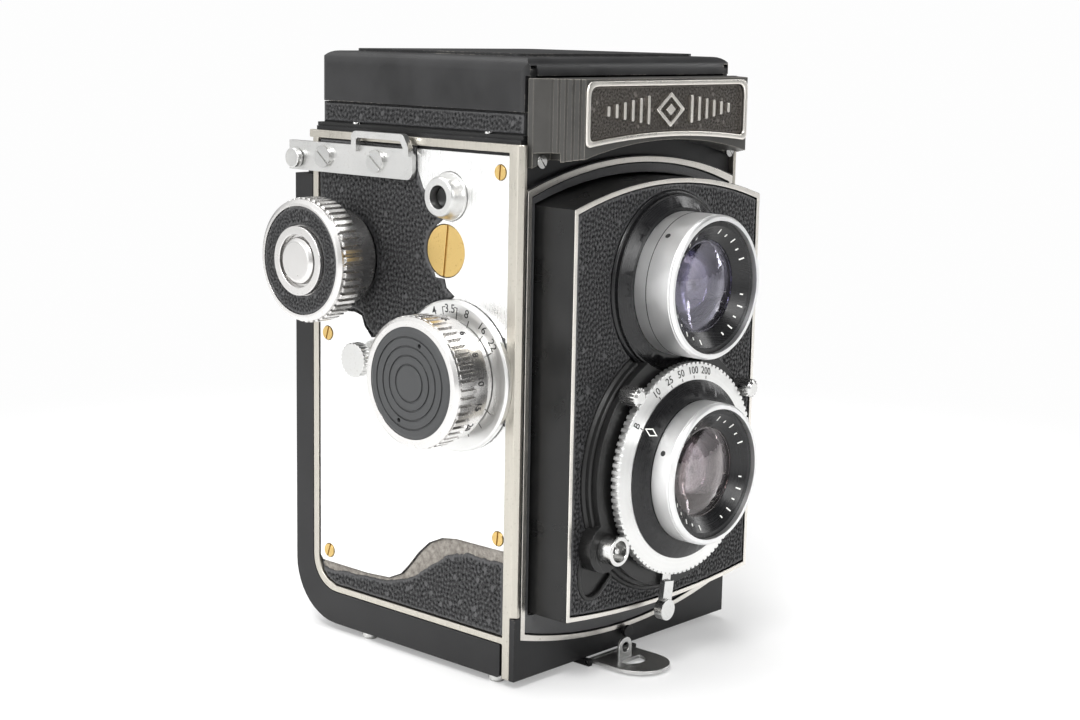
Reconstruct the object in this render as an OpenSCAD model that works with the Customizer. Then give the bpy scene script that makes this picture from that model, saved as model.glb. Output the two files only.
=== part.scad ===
// Twin lens reflex camera for 6 x 6 cm roll film.
// The lenses face -Y, +Z is up, and left means -X, the flank with the knobs.
// The origin is the mouth of the tripod socket, in the plane of the feet.
// All sizes are in millimetres.

/* [Body] */
// Overall width of the body
body_width = 76; // [75:0.5:78]
// Height of the top deck above the feet
deck_z = 120.8; // [120.8:0.1:121]
// Front plane of the body casting
front_y = -36; // [-36:0.1:-35.9]
// Rear plane of the flanks, where the back door starts
rear_y = 29; // [29:0.1:29.1]
// Thickness of the flank coverings
skin_thickness = 0.9; // [0.6:0.1:1]

/* [Lenses] */
// Height of the viewing lens axis
view_z = 88.9; // [88.8:0.1:89]
// Height of the taking lens axis
take_z = 47.2; // [47:0.1:47.3]
// Outer radius of both lens rims
rim_radius = 16; // [15.9:0.05:16.05]
// Radius of the serrated speed ring
speed_radius = 24.2; // [23.8:0.1:24.4]
// Number of serrations on the speed ring
speed_serrations = 96; // [60:1:120]

/* [Knobs] */
// Radius of the film advance knob
advance_radius = 14.2; // [13.5:0.1:14.5]
// Radius of the focus knob
focus_radius = 14.6; // [14:0.1:14.9]
// How far both knobs stand out from the flank
knob_height = 14.2; // [13.9:0.1:14.6]
// Number of knurl ribs on the knobs
knurl_ribs = 50; // [30:1:60]
// Board travel per radian of the focus knob
cam_rise = 1.5; // [1:0.1:1.6]

/* [Hood] */
// Height of the top of the lid above the feet
lid_top = 138.1; // [138:0.1:138.2]
// Length of the hood flaps
flap_length = 25; // [22:0.5:25]

/* [Hidden] */
$fn = 96;

half_width = body_width / 2;   // half width over the trims
cast_half = half_width - 1.2;  // half width of the casting
underside = 2;                 // underside of the body above the feet
sill = 9.9;                    // lower edge of the flanks
corner = [21, sill + 8];       // centre of the rounded lower rear corner (y, z)
trim_top = 119.9;              // upper edge of the flank trims
rim_y = front_y - 1.5;         // raised rim of the body front
board_y = front_y - 11.9;      // face of the lens board
board_half = 32.8;             // half width of the lens board

// axes that run along X, as (y, z)
advance_axis = [17.3, 91.4];   // film advance knob and take-up spool
supply_axis = [-13, 15.9];
roller_axis = [23.6, 14.9];
focus_axis = [-18.8, 68.3];
bush_axis = [-15.9, 107.6];
plug_axis = [-14.7, 95.5];
stop_axis = [10.5, 68.3];
door_axis = [33.2, 113.2];     // back door hinge
lid_axis = [-34.9, 134.9];
rear_flap_axis = [27.5, 128.8];
magnifier_axis = [-12.9, 134.2];
latch_axis = [-38.3, 1.1];

plate_screws = [[-31.1, 113.8], [24.1, 72.5], [23.6, 19.7], [-31.9, 33.6]];  // (y, z)
lug_screws = [[23.5, 114], [5.8, 114]];  // (y, z)
plate_screw_sink = 1.75;       // radius of the openings for the plate screw heads

// colours
deep_black = [0.06, 0.06, 0.06];
lacquer = [0.08, 0.08, 0.08];
body_black = [0.1, 0.1, 0.1];
leather_black = [0.12, 0.12, 0.12];
spool_black = [0.15, 0.15, 0.15];
steel = [0.6, 0.6, 0.6];
bright_steel = [0.7, 0.7, 0.7];
satin = [0.75, 0.75, 0.75];
nickel = [0.8, 0.8, 0.8];
chrome = [0.8, 0.8, 0.79];
bright_chrome = [0.82, 0.82, 0.81];

// ---- placing ----
// place is (y, z); local z points to -X and local x is up
module on_left(place, x = half_width)
  translate([-x, place[0], place[1]]) rotate([0, -90, 0]) children();
// place is (y, z); local z points to +X and local x is down
module on_right(place, x = half_width)
  translate([x, place[0], place[1]]) rotate([0, 90, 0]) children();
// local z points forward, local y is up
module on_front(y, z, x = 0) translate([x, y, z]) rotate([90, 0, 0]) children();
module on_both_flanks() {
  children();
  mirror([1, 0, 0]) children();
}

// ---- solids ----
// extrudes a (y, z) outline along X from x0 to x1
module yz(x0, x1)
  translate([x0, 0, 0]) rotate([90, 0, 90]) linear_extrude(x1 - x0) children();
// extrudes an (x, z) outline along Y, y0 being the front end
module xz(y0, y1) translate([0, y1, 0]) rotate([90, 0, 0]) linear_extrude(y1 - y0) children();
module block(low_corner, size) translate(low_corner) cube(size);
module disc(z, height, radius) translate([0, 0, z]) cylinder(h = height, r = radius);
module cone(z, height, base, top) translate([0, 0, z]) cylinder(h = height, r1 = base, r2 = top);
module tube(z, height, outer, inner) translate([0, 0, z]) difference() {
  cylinder(h = height, r = outer);
  disc(-1, height + 2, inner);
}
module grip(z, height, radius, depth, count)
  translate([0, 0, z]) linear_extrude(height) polygon(ribs(radius, depth, count));
// screw head with a slot across its outer end
module slotted(radius, height, width, depth, angle) difference() {
  cylinder(h = height, r = radius);
  rotate([0, 0, angle])
    block([-width / 2, -radius - 1, height - depth], [width, 2 * radius + 2, depth + 1]);
}
// cutters through the flank coverings
module left_cut(place, radius) on_left(place, cast_half - 1) cylinder(h = 4, r = radius);
module right_cut(place, radius) on_right(place, cast_half - 1) cylinder(h = 4, r = radius);

// ---- outlines ----
function polar(radius, angle) = radius * [cos(angle), sin(angle)];
function arc(centre, radius, from, to, steps) =
  [for (i = [0 : steps]) centre + polar(radius, from + (to - from) * i / steps)];
function rounded_rect(x0, y0, x1, y1, radius) = concat(
  arc([x1 - radius, y0 + radius], radius, -90, 0, 5),
  arc([x1 - radius, y1 - radius], radius, 0, 90, 5),
  arc([x0 + radius, y1 - radius], radius, 90, 180, 5),
  arc([x0 + radius, y0 + radius], radius, 180, 270, 5));
// corners at heights low and high, edges bulging down by drop and up by rise
function arched(half, low, drop, high, rise, steps = 12) = let (
  top_r = (half * half + rise * rise) / (2 * rise),
  low_r = (half * half + drop * drop) / (2 * drop),
  top_a = asin(half / top_r),
  low_a = asin(half / low_r)) concat(
  [for (i = [0 : steps]) let (a = -low_a + 2 * low_a * i / steps)
    [low_r * sin(a), low + low_r - drop - low_r * cos(a)]],
  [for (i = [0 : steps]) let (a = top_a - 2 * top_a * i / steps)
    [top_r * sin(a), high - (top_r - rise) + top_r * cos(a)]]);
// ribbed outline of a knurled grip; each corner is (share of the pitch, radius)
function ribs(radius, depth, count) = [for (i = [0 : count - 1])
  for (tooth = [[0, radius], [0.52, radius], [0.6, radius - depth], [0.92, radius - depth]])
    polar(tooth[1], 360 / count * (i + tooth[0]))];
// saw-toothed outline of a ratchet wheel
function ratchet(count, radius, depth) = [for (i = [0 : count - 1])
  each [polar(radius, 360 * i / count), polar(radius - depth, 360 * i / count + 3)]];

// recess for the front covering, and the lens board, each drawn in by inset
function recess_outline(inset) = arched(34.6 - inset, 12.4 + inset, 5, 108.8 - inset, 6);
function board_outline(inset) =
  arched(board_half - inset, 16.8 + inset, 2, 106.9 - inset, 5.1);
// lower edge of a flank and its rounded rear corner (y, z)
flank_bottom = concat([[front_y, sill], [corner[0], sill]], arc(corner, 8, -81, 0, 9));
// full covering of a flank (y, z)
covering_outline = concat([[-33.7, 11.5], [corner[0], 11.5]], arc(corner, 6.1, -75, 0, 5),
  [[27.1, 118], [-33.7, 118]]);
// bare plate of the left flank (y, z)
plate_outline = [
  [-33.6, 117.4], [-33.6, 31.05], [-19, 31], [-14.5, 30.3], [-10.3, 28.4],
  [-6.8, 25.3], [-3.8, 21.8], [-1.2, 19.2], [2.8, 17.4], [10.1, 16.9],
  [25.9, 17.0], [26.8, 18], [26.8, 78], [14.7, 78.6], [12.4, 78],
  [11.4, 75.6], [9.1, 73.3], [-4, 75], [-17.7, 85.7], [-15.2, 87.4],
  [-14.6, 89.3], [-11.8, 89.4], [-9.2, 95.2], [-11.9, 100.9], [-14.7, 102.9],
  [-12, 105], [-7.6, 108.9], [-5.9, 112.7], [-5.5, 117.4]];
// the plate with a narrow gap round it (y, z)
plate_gap_outline = concat([[-33.9, 119], [-33.9, 30.7]],
  [for (i = [2 : len(plate_outline) - 2])
    plate_outline[i] + [i < 20 ? -0.05 : 0.25, i < 12 ? -0.35 : 0]],
  [[-5.25, 119]]);

// ---- body ----
module casting_blank() {
  yz(-cast_half, cast_half)
    polygon(concat(flank_bottom, [[rear_y, deck_z], [front_y, deck_z]]));
  // front bottom block
  block([-cast_half, front_y, underside], [2 * cast_half, 2.6, sill - underside + 1]);
  block([-half_width, rim_y, underside], [2 * half_width, 1.5, 14.3]);
  // raised rim round the front covering
  xz(rim_y, front_y) polygon(arched(36.2, 11, 5, 110.4, 6));
}
module front_recesses() {
  xz(rim_y - 1, rim_y + 0.9) polygon(recess_outline(0));
  // box that takes the lens board
  xz(rim_y - 1, -26.5) polygon(arched(board_half + 0.35, 16.5, 2.1, 107.2, 5.3));
}
module light_chambers() {
  // light chamber and film gate
  yz(-28, 28) polygon([[-27, 34.5], [24.01, 19.5], [24.01, 74.9], [-27, 60]]);
  yz(-28, 28) polygon([[24, 19.2], [30, 19.2], [30, 75.2], [24, 75.2]]);
  // film plane recess in the rear
  block([-33.2, 26, 12], [66.4, 4, 90]);
  // viewing chamber with its slanted mirror seat
  yz(-29, 29) polygon([[-27, 66.6], [-26.3, 66.6], [23.07, 115.97], [23.07, 117],
    [-32.5, 117], [-32.5, 113.6], [-27, 113.6]]);
  block([-27.5, -31, 116], [55, 52, 6]);
}
module film_chambers() {
  chamber_half = 32.2;
  chamber_width = 2 * chamber_half;
  on_left(advance_axis, chamber_half) disc(-chamber_width, chamber_width, 12.9);
  on_left(supply_axis, chamber_half) disc(-chamber_width, chamber_width, 12.8);
  block([-chamber_half, supply_axis[0] - 12.8, sill - 1],
    [chamber_width, 25.6, supply_axis[1] - sill + 1]);
  // roller space and rear opening below the gate
  block([-chamber_half, 20.4, sill - 1], [chamber_width, 9, 9.6]);
  on_left(roller_axis, 33.6) disc(-67.2, 67.2, 1.06);
}
module wall_bores() {
  // ratchet pocket and shaft hole
  on_left(advance_axis, 31) {
    cylinder(h = 4.8, r = 5.4);
    cylinder(h = 7, r = 2.56);
  }
  // focus cam pocket and its slot to the front
  on_left(focus_axis, 33.4) {
    cylinder(h = 2.8, r = 10.9);
    cylinder(h = 5, r = 2.56);
  }
  block([-36.2, -35.8, focus_axis[1] - 2.3], [4, 17.8, 4.6]);
  // release button and its bush
  on_left(bush_axis, 33) {
    cylinder(h = 6, r = 2.56);
    disc(1.5, 6, 3.25);
  }
  on_left(stop_axis, 34) cylinder(h = 6, r = 1.06);
  // spool pulls
  for (place = [advance_axis, supply_axis]) on_right(place, 32) cylinder(h = 6, r = 2.76);
  for (place = plate_screws) on_left(place, cast_half - 3) cylinder(h = 4, r = 0.8);
  for (s = [-1, 1], place = lug_screws)
    on_right(place, s * (cast_half - 1.5)) cylinder(h = 3.2, r = 1.3, center = true);
}
module body_casting() color(body_black) union() {
  difference() {
    union() casting_blank();
    front_recesses();
    light_chambers();
    film_chambers();
    wall_bores();
  }
  // stub axle for the supply spool
  on_left(supply_axis, 28.5) cylinder(h = 3.75, r = 2.7);
  // catch stud of the back latch
  on_front(rim_y + 0.2, 5.4, -0.2) {
    cylinder(h = 1.5, r = 1.0);
    disc(1.1, 0.7, 1.5);
  }
}

// chrome frame of one flank, at x = 0 growing to -X
module flank_frame() {
  inner_y = front_y + 2.2;
  difference() {
    yz(-1.2, 0) polygon(concat(flank_bottom,
      [[rear_y, 118.1], [30.2, 118.1], [30.2, trim_top], [front_y, trim_top]]));
    yz(-2, 1) polygon(concat([[inner_y, sill + 1.5], [corner[0], sill + 1.5]],
      arc(corner, 6.2, -80, 0, 6), [[27.2, 118.1], [inner_y, 118.1]]));
  }
  // front corner strip, flank side, down to the block
  block([-1.2, front_y, underside], [1.2, 2.2, sill - underside + 0.1]);
  // front corner strip, front side
  translate([0, 0, 16.4]) linear_extrude(trim_top - 16.4) polygon([
    [-1.2, front_y + 0.1], [-1.2, front_y - 0.4], [-0.4, rim_y], [0.55, rim_y],
    [0.55, front_y], [0, front_y], [0, front_y + 0.1]]);
}
module side_trim() color([0.75, 0.75, 0.74])
  on_both_flanks() translate([-cast_half, 0, 0]) flank_frame();

// openings shared by the plate and the covering of the left flank
module flank_holes()
  for (hole = [[advance_axis, 9.6], [bush_axis, 5.5], [plug_axis, 6.0],
      [focus_axis, 6.2], [stop_axis, 1.06]])
    left_cut(hole[0], hole[1]);
module side_plate() color([0.93, 0.93, 0.92]) difference() {
  yz(-cast_half - skin_thickness, -cast_half) polygon(plate_outline);
  flank_holes();
  for (place = plate_screws) left_cut(place, plate_screw_sink);
}
// left: the part of the covering round the plate; right: the whole covering
module side_leather() color(leather_black) {
  cut_x = -cast_half - 3;
  difference() {
    yz(-cast_half - skin_thickness, -cast_half) polygon(covering_outline);
    yz(cut_x, -cast_half + 1) polygon(plate_outline);
    yz(cut_x, -cast_half + 1) polygon(plate_gap_outline);
    flank_holes();
    block([cut_x, -2, 17.2], [4, 28.9, 61]);
    block([cut_x, -9, 74.0], [4, 12, 1.6]);
    for (place = lug_screws) left_cut(place, 1.3);
  }
  difference() {
    yz(cast_half, cast_half + skin_thickness) polygon(covering_outline);
    for (place = [advance_axis, supply_axis]) right_cut(place, 3);
    for (place = lug_screws) right_cut(place, 1.3);
  }
}
module front_leather() color(leather_black) difference() {
  xz(rim_y + 0.35, rim_y + 0.9) polygon(recess_outline(0.2));
  xz(rim_y - 1, rim_y + 2) polygon(arched(board_half + 0.6, 16.3, 2.1, 107.4, 5.3));
}

module brass_screws() color([0.72, 0.55, 0.28])
  for (place = plate_screws) on_left(place, cast_half - 2.5) {
    cylinder(h = 2.6, r = 0.75);
    // the slots stand at various angles
    translate([0, 0, 2.5]) slotted(1.6, 1.15, 0.4, 0.45, place[0] * 3);
  }
module steel_screws() color(bright_steel) {
  // strap lugs
  for (s = [-1, 1], place = lug_screws)
    translate([s * (cast_half - 1.2), place[0], place[1]]) rotate([0, s * 90, 0]) {
      cylinder(h = 3.7, r = 1.2);
      translate([0, 0, 3.61]) slotted(2.6, 0.95, 0.5, 0.55, -38);
    }
  // nameplate ears
  for (s = [-1, 1]) on_front(-38.2, 116.3, s * 33) slotted(1.4, 0.6, 0.35, 0.3, 40);
  // hood base
  for (s = [-1, 1], y = [-25, 17])
    translate([s * 35.35, y, 121.65]) slotted(0.75, 0.4, 0.2, 0.2, 30);
}

// right strap lug plate, at x = 0; its rear end carries the back hinge pin
module lug() difference() {
  union() {
    yz(0, 1.2) polygon(concat([[36, 110.4], [36, 117.2]],
      arc([-3.8, 115.5], 1.7, 90, 180, 5), arc([-3.8, 112.1], 1.7, 180, 270, 5)));
    // bow standing off the flank
    yz(0.9, 2.4) polygon(concat([[13.2, 115.9]],
      arc([11.7, 119.0], 1.5, 0, 90, 4), arc([-2.9, 118.9], 1.6, 90, 140, 3),
      [[-5.5, 117.6], [-5.5, 115.6], [-3.9, 115.6], [-3.9, 117.2]],
      arc([-2.4, 118.3], 0.7, 150, 90, 3), arc([11.0, 118.4], 0.6, 90, 0, 3),
      [[11.6, 115.9]]));
  }
  for (place = lug_screws) on_right(place, -1) cylinder(h = 4, r = 1.3);
  on_right(door_axis, -1) cylinder(h = 4, r = 1.5);
}
module strap_lugs() color(chrome) on_both_flanks() translate([half_width, 0, 0]) lug();
module door_hinge_pin() color(nickel) on_right(door_axis, -41) union() {
  cylinder(h = 82, r = 1.48);
  cylinder(h = 1.7, r = 2.3);
  disc(80.3, 1.7, 2.3);
}
module release_bush() color(bright_chrome) on_left(bush_axis, 34.6) difference() {
  union() {
    cylinder(h = 2.3, r = 3.2);
    disc(2.2, 1.4, 5.4);
    cone(3.6, 2.6, 5.2, 4.5);
    cone(6.2, 0.6, 4.5, 4.1);
  }
  disc(-1, 9, 2.6);
}
module brass_plug() color([0.75, 0.58, 0.25])
  on_left(plug_axis, cast_half) slotted(5.8, 0.75, 0.6, 0.5, 84);
module dof_dial() color(bright_chrome) on_left(focus_axis, cast_half) difference() {
  union() {
    cylinder(h = 1.3, r = 6.1);
    disc(1.2, 1.2, 16.9);
    cone(2.4, 0.4, 16.9, 16.4);
  }
  disc(-1, 6, 2.58);
}
module stop_button() color([0.78, 0.78, 0.78]) on_left(stop_axis, 35.2) {
  cylinder(h = 4.6, r = 1.0);
  grip(4.5, 2.6, 4.0, 0.25, 24);
}
module accessory_shoe() color(satin) translate([half_width - 0.3, -27, 78]) difference() {
  cube([3.4, 24, 21]);
  block([1.2, 1.5, -1], [1.4, 21, 21]);
  block([2, 4, -1], [3, 16, 20]);
}
module ground_glass() color([0.85, 0.9, 0.88]) block([-28.5, -32.2, 115.3], [57, 54.4, 1.6]);
module reflex_mirror() color([0.8, 0.85, 0.9])
  translate([0, -6.8, 88.9]) rotate([45, 0, 0]) block([-27, -25.6, -1.9], [54, 54, 1.8]);
module film_roller() color(bright_steel)
  on_left(roller_axis, 31.8) translate([0, 0, -63.6]) union() {
    cylinder(h = 63.6, r = 2.4);
    disc(-1.2, 66, 1.0);
  }

// ---- hood ----
flap_hinge_x = 33.2;
flap_hinge_z = 127.4;
rear_hinge_x = 31.4;
lid_ear_x = 33.45;
lid_bottom = 126.6;
lid_front = -36.6;
lid_rear = 29.4;
lid_half = 35.5;

module hood_walls() {
  block([-36, front_y + 0.1, deck_z], [72, 65.4, 0.85]);
  block([-34.4, -35, deck_z], [68.8, 64, 5.6]);
  block([-34.15, lid_front, deck_z], [68.3, 1.7, 12.1]);
  for (s = [-1, 1]) {
    // lid hinge ear
    translate([s * lid_ear_x, 0, 0]) yz(-0.78, 0.78) polygon(concat([[-33.6, 126.1]],
      arc(lid_axis, 1.24, -8, 188, 8), [[-36.15, 132], [-36.15, 126.1]]));
    // hinge posts of the side and rear flaps
    for (y = [-34.3, 25.4]) block([s * flap_hinge_x - 1.05, y, 126], [2.1, 1.2, 2.4]);
    block([s * rear_hinge_x - 0.6, 26.6, 126], [1.2, 1.6, 3.9]);
  }
}
module hood_base() color(leather_black) difference() {
  union() hood_walls();
  block([-30.5, -32.5, deck_z - 1], [61, 57.3, 12]);
  for (s = [-1, 1]) {
    translate([s * flap_hinge_x, -34.7, flap_hinge_z])
      rotate([-90, 0, 0]) cylinder(h = 62, r = 0.47);
    on_right(rear_flap_axis, s * rear_hinge_x - 1) cylinder(h = 2, r = 0.56);
    on_right(lid_axis, s * lid_ear_x - 1) cylinder(h = 2, r = 0.66);
    for (y = [-25, 17]) translate([s * 35.35, y, deck_z - 1]) cylinder(h = 3, r = 0.4);
  }
}

// left half of the nameplate seen from above (x, y), with five steps
nameplate_left = concat([[-35.6, -36.75], [-35.6, -38.2], [-33.2, -39.6]],
  [for (i = [0 : 4]) each [
    [-32.6 + i * 0.85, -40.4 - i * 1.25],
    [-32.0 + i * 0.85, -40.6 - i * 1.25]]],
  [[-28.4, -46.5]]);
nameplate_right = [for (i = [len(nameplate_left) - 1 : -1 : 0])
  [-nameplate_left[i][0], nameplate_left[i][1]]];
module nameplate() color(lacquer) difference() {
  translate([0, 0, 114]) linear_extrude(19.8)
    polygon(concat(nameplate_left, nameplate_right));
  // arched underside following the body front
  xz(-50, -30) polygon(concat([[-40, 110], [40, 110]], arc([0, 0], 120.4, 72.2, 107.8, 20)));
  // sunk field of the shield
  xz(-50, -45.9) polygon(concat(
    [[27.2, 120.4], [27.2, 132.4], [-27.2, 132.4], [-27.2, 120.4]],
    [for (x = [-25 : 5 : 25]) [x, 122.1 - x * x * 0.0022]]));
  // room in front of the screw ears
  for (s = [-1, 1]) block([s * 33 - 3, -42, 110], [6, 3.8, 8.2]);
}

// outlines of the lid from the side (y, z) and from the front (x, z)
function lid_side(inset) = let (
  front = lid_front + inset, rear = lid_rear - inset, top = lid_top - inset,
  front_r = 3.5 - inset, rear_r = 3.2 - inset) concat(
  [[front, lid_bottom], [rear, lid_bottom]],
  arc([rear - rear_r, top - rear_r], rear_r, 0, 90, 7),
  arc([front + front_r, top - front_r], front_r, 90, 180, 7));
function lid_face(inset) = let (
  half = lid_half - inset, top = lid_top - inset, radius = 3.2 - inset) concat(
  [[-half, lid_bottom], [half, lid_bottom]],
  arc([half - radius, top - radius], radius, 0, 90, 7),
  arc([-half + radius, top - radius], radius, 90, 180, 7));
module lid_solid(inset, extra_depth = 0) intersection() {
  yz(-40, 40) polygon(lid_side(inset));
  xz(-45, 40) polygon(lid_face(inset));
  translate([0, 0, lid_bottom - extra_depth]) linear_extrude(14) polygon(rounded_rect(
    -lid_half + inset, lid_front + inset, lid_half - inset, lid_rear - inset, 2.4 - inset));
}
module hood_cover() color(body_black) union() {
  difference() {
    lid_solid(0);
    lid_solid(1.2, 2);
    // open below the front lip
    block([-34.3, -40, 126], [68.6, 6, 8.2]);
    block([-36, -40, 126], [72, 4.3, 8.2]);
    for (s = [-1, 1]) {
      // notch for the hinge ear
      block([s * lid_ear_x - 0.95, -40, 130], [1.9, 8, 6.4]);
      // clearance of the skirt round the lower front corner
      block([s * 35 - 1, -38, 126], [2, 2.6, 8.2]);
    }
  }
  // hinge pins
  for (s = [-1, 1]) on_right(lid_axis, s * 33.7 - 0.8) cylinder(h = 1.6, r = 0.6);
  // raised panel on the top
  translate([-30, -30, lid_top - 0.1]) linear_extrude(0.7)
    polygon(rounded_rect(0, 0, 60, 54, 3));
  // magnifier bracket
  for (s = [-1, 1]) difference() {
    block([s * 16.6 - 0.7, -14.2, 133.0], [1.4, 2.6, 3.9]);
    on_right(magnifier_axis, s * 16.6 - 2) cylinder(h = 4, r = 0.66);
  }
}
// left flap, folded flat; x grows inwards from its hinge
module flap_side() {
  translate([0, 0, 127.1]) linear_extrude(0.6) polygon([
    [0.6, -32.0], [11, -32.0], [14, -30.6], [17, -29.0], [20, -27.0],
    [flap_length, -23.8], [flap_length, 1.9], [2, 24.6], [0.6, 24.6]]);
  translate([0, -32.9, flap_hinge_z]) rotate([-90, 0, 0]) union() {
    cylinder(h = 57.9, r = 0.8);
    disc(-0.7, 59.4, 0.44);
  }
}
module hood_flap_left() color(leather_black) translate([-flap_hinge_x, 0, 0]) flap_side();
module hood_flap_right() color(leather_black)
  mirror([1, 0, 0]) translate([-flap_hinge_x, 0, 0]) flap_side();
module hood_flap_rear() color(leather_black) {
  block([-30.3, rear_flap_axis[0] - flap_length, 128.5], [60.6, flap_length, 0.6]);
  on_right(rear_flap_axis, -30.6) union() {
    cylinder(h = 61.2, r = 0.65);
    disc(-0.7, 62.6, 0.5);
  }
}
module magnifier_frame() color([0.2, 0.2, 0.2]) {
  difference() {
    block([-15.4, -13.5, 132.4], [30.8, 28.5, 1.5]);
    translate([0, 1.5, 131]) cylinder(h = 4, r = 11.06);
  }
  on_right(magnifier_axis, -15.6) union() {
    cylinder(h = 31.2, r = 1.0);
    disc(-1.5, 34.2, 0.6);
  }
}
module magnifier_lens() color([0.8, 0.9, 0.95]) translate([0, 1.5, 132.2]) union() {
  cylinder(h = 1.8, r = 11);
  cone(1.8, 0.7, 10.4, 7);
}

// ---- film advance ----
module advance_knob() color(chrome) on_left(advance_axis) difference() {
  union() {
    // smooth sleeve behind the grip
    disc(1.1, knob_height - 7.6, 11.0);
    grip(knob_height - 6.6, 5.1, advance_radius, 0.75, knurl_ribs);
    disc(knob_height - 1.6, 1.0, advance_radius - 0.4);
    cone(knob_height - 0.6, 0.6, advance_radius - 0.4, advance_radius - 1.3);
  }
  // seats of the leather and the cap, then the shaft bore
  disc(knob_height - 0.65, 2, 12.35);
  disc(knob_height - 1.65, 3, 5.35);
  cylinder(h = 8.75, r = 2.5);
}
module advance_knob_leather() color(leather_black)
  on_left(advance_axis) tube(knob_height - 0.65, 0.55, 12.3, 8.0);
module advance_knob_cap() color([0.85, 0.85, 0.84]) on_left(advance_axis) {
  tube(knob_height - 0.65, 1.5, 7.9, 6.0);
  translate([0, 0, knob_height - 1.65]) union() {
    cylinder(h = 2.2, r = 5.3);
    cone(2.2, 0.7, 5.3, 4.4);
  }
}
module advance_shaft() color(steel) on_left(advance_axis, 33.2) union() {
  disc(-0.5, 1.8, 2.0);
  disc(1.22, 12.2, 2.5);
}
// wheel that stops the shaft turning back, with the key that drives the spool
module ratchet_wheel() color(steel) on_left(advance_axis, 33.2) difference() {
  union() {
    translate([0, 0, -1]) linear_extrude(2.2) polygon(ratchet(16, 4.6, 0.7));
    block([-0.8, -2.4, -3.6], [1.6, 4.8, 2.7]);
  }
  disc(-0.5, 3, 2.0);
}
// the left end has a key slot when keyed, a round bore otherwise
module spool(keyed) difference() {
  union() {
    cylinder(h = 1.1, r = 12.4);
    disc(62.3, 1.1, 12.4);
    cylinder(h = 63.4, r = 5.2);
  }
  disc(-1, 5.6, 2.76);
  if (keyed) block([-1.0, -2.6, 58], [2, 5.2, 6]);
  else disc(59, 6, 2.76);
  // slot through the core
  block([-0.6, -8, 10], [1.2, 16, 43]);
}
module takeup_spool() color(spool_black) on_left(advance_axis, -31.7) spool(true);
module supply_spool() color(spool_black) on_left(supply_axis, -31.7) spool(false);
module pull(radius) {
  disc(-9.4, 9.9, 2.7);
  disc(0.4, 1.6, radius - 1.6);
  grip(1.9, 4.2, radius, 0.4, 36);
  cone(6.0, 0.8, radius - 0.62, radius - 1.3);
}
module upper_spool_pull() color(chrome) on_right(advance_axis) pull(7.5);
module lower_spool_pull() color(chrome) on_right(supply_axis) pull(6.0);
module advance_release_button() color([0.25, 0.25, 0.25]) on_left(bush_axis, 34.8) {
  cylinder(h = 4.4, r = 2.5);
  cone(4.4, 0.3, 2.5, 2.1);
}

// ---- focusing ----
module focus_knob() color(chrome) on_left(focus_axis) difference() {
  union() {
    disc(1.8, 2.6, 12.6);
    // smooth band that carries the distance scale
    cone(4.3, knob_height - 9.9, 13.9, 13.6);
    grip(knob_height - 5.7, 4.4, focus_radius, 0.75, knurl_ribs);
    disc(knob_height - 1.4, 0.8, focus_radius - 0.2);
    cone(knob_height - 0.6, 0.6, focus_radius - 0.2, focus_radius - 1.0);
  }
  disc(knob_height - 1.1, 3, 12.3);
  disc(1, 8.02, 2.5);
}
module focus_knob_insert() color(lacquer)
  on_left(focus_axis) translate([0, 0, knob_height - 1.1]) difference() {
    union() {
      cylinder(h = 1.0, r = 12.25);
      cone(1.0, 0.4, 12.25, 11.3);
    }
    // concentric grooves and two small holes
    for (groove = [4.3, 6.3, 8.3, 10.3]) tube(1.05, 1, groove, groove - 0.42);
    for (a = [-20, 160]) rotate([0, 0, a]) translate([9.05, 0, 0.6]) cylinder(h = 2, r = 0.5);
  }
// spiral cam: its radius towards the front grows by cam_rise per radian
cam_base = 3.6;
cam_outline = concat(
  [for (turn = [0 : 5 : 270]) polar(cam_base + cam_rise * turn * PI / 180, -90 - turn)],
  [for (i = [1 : 8])
    polar(cam_base + cam_rise * 1.5 * PI * (1 - i / 8), -90 - (270 + i * 7.5))],
  arc([0, 0], cam_base, -90 - 337, -90 - 353, 2));
module focus_shaft() color(steel) on_left(focus_axis, 33.6) union() {
  linear_extrude(2.2) polygon(cam_outline);
  cylinder(h = 13, r = 2.5);
}

// ---- lens board ----
module lens_board() color(lacquer) difference() {
  union() {
    difference() {
      xz(board_y, -26.9) polygon(board_outline(0));
      xz(board_y + 2, -20) polygon(board_outline(1.6));
    }
    // follower arm that the focus cam drives
    block([-35.9, -28.4, focus_axis[1] - 1], [3.3, 4.88, 2]);
    on_right(focus_axis - [4.72, 0], -35.9) cylinder(h = 3.3, r = 1);
  }
  xz(board_y - 1, board_y + 0.8) polygon(board_outline(1));
  on_front(board_y + 4, take_z) cylinder(h = 8, r = 12.05);
  on_front(board_y + 4, view_z) cylinder(h = 8, r = 13.05);
}
module lens_board_leather() color(leather_black) difference() {
  xz(board_y, board_y + 0.8) polygon(board_outline(1.2));
  on_front(board_y + 4, take_z) cylinder(h = 8, r = 12.4);
  on_front(board_y + 4, view_z) cylinder(h = 8, r = 13.4);
}

// ---- lenses ----
view_length = 10.3;                    // viewing barrel
view_back_y = board_y - 2.85;
view_tip_y = view_back_y - view_length;
take_length = 5.45;                    // taking barrel
take_back_y = board_y - 9.15;
take_tip_y = take_back_y - take_length;
barrel_bore = 11.6;

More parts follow.
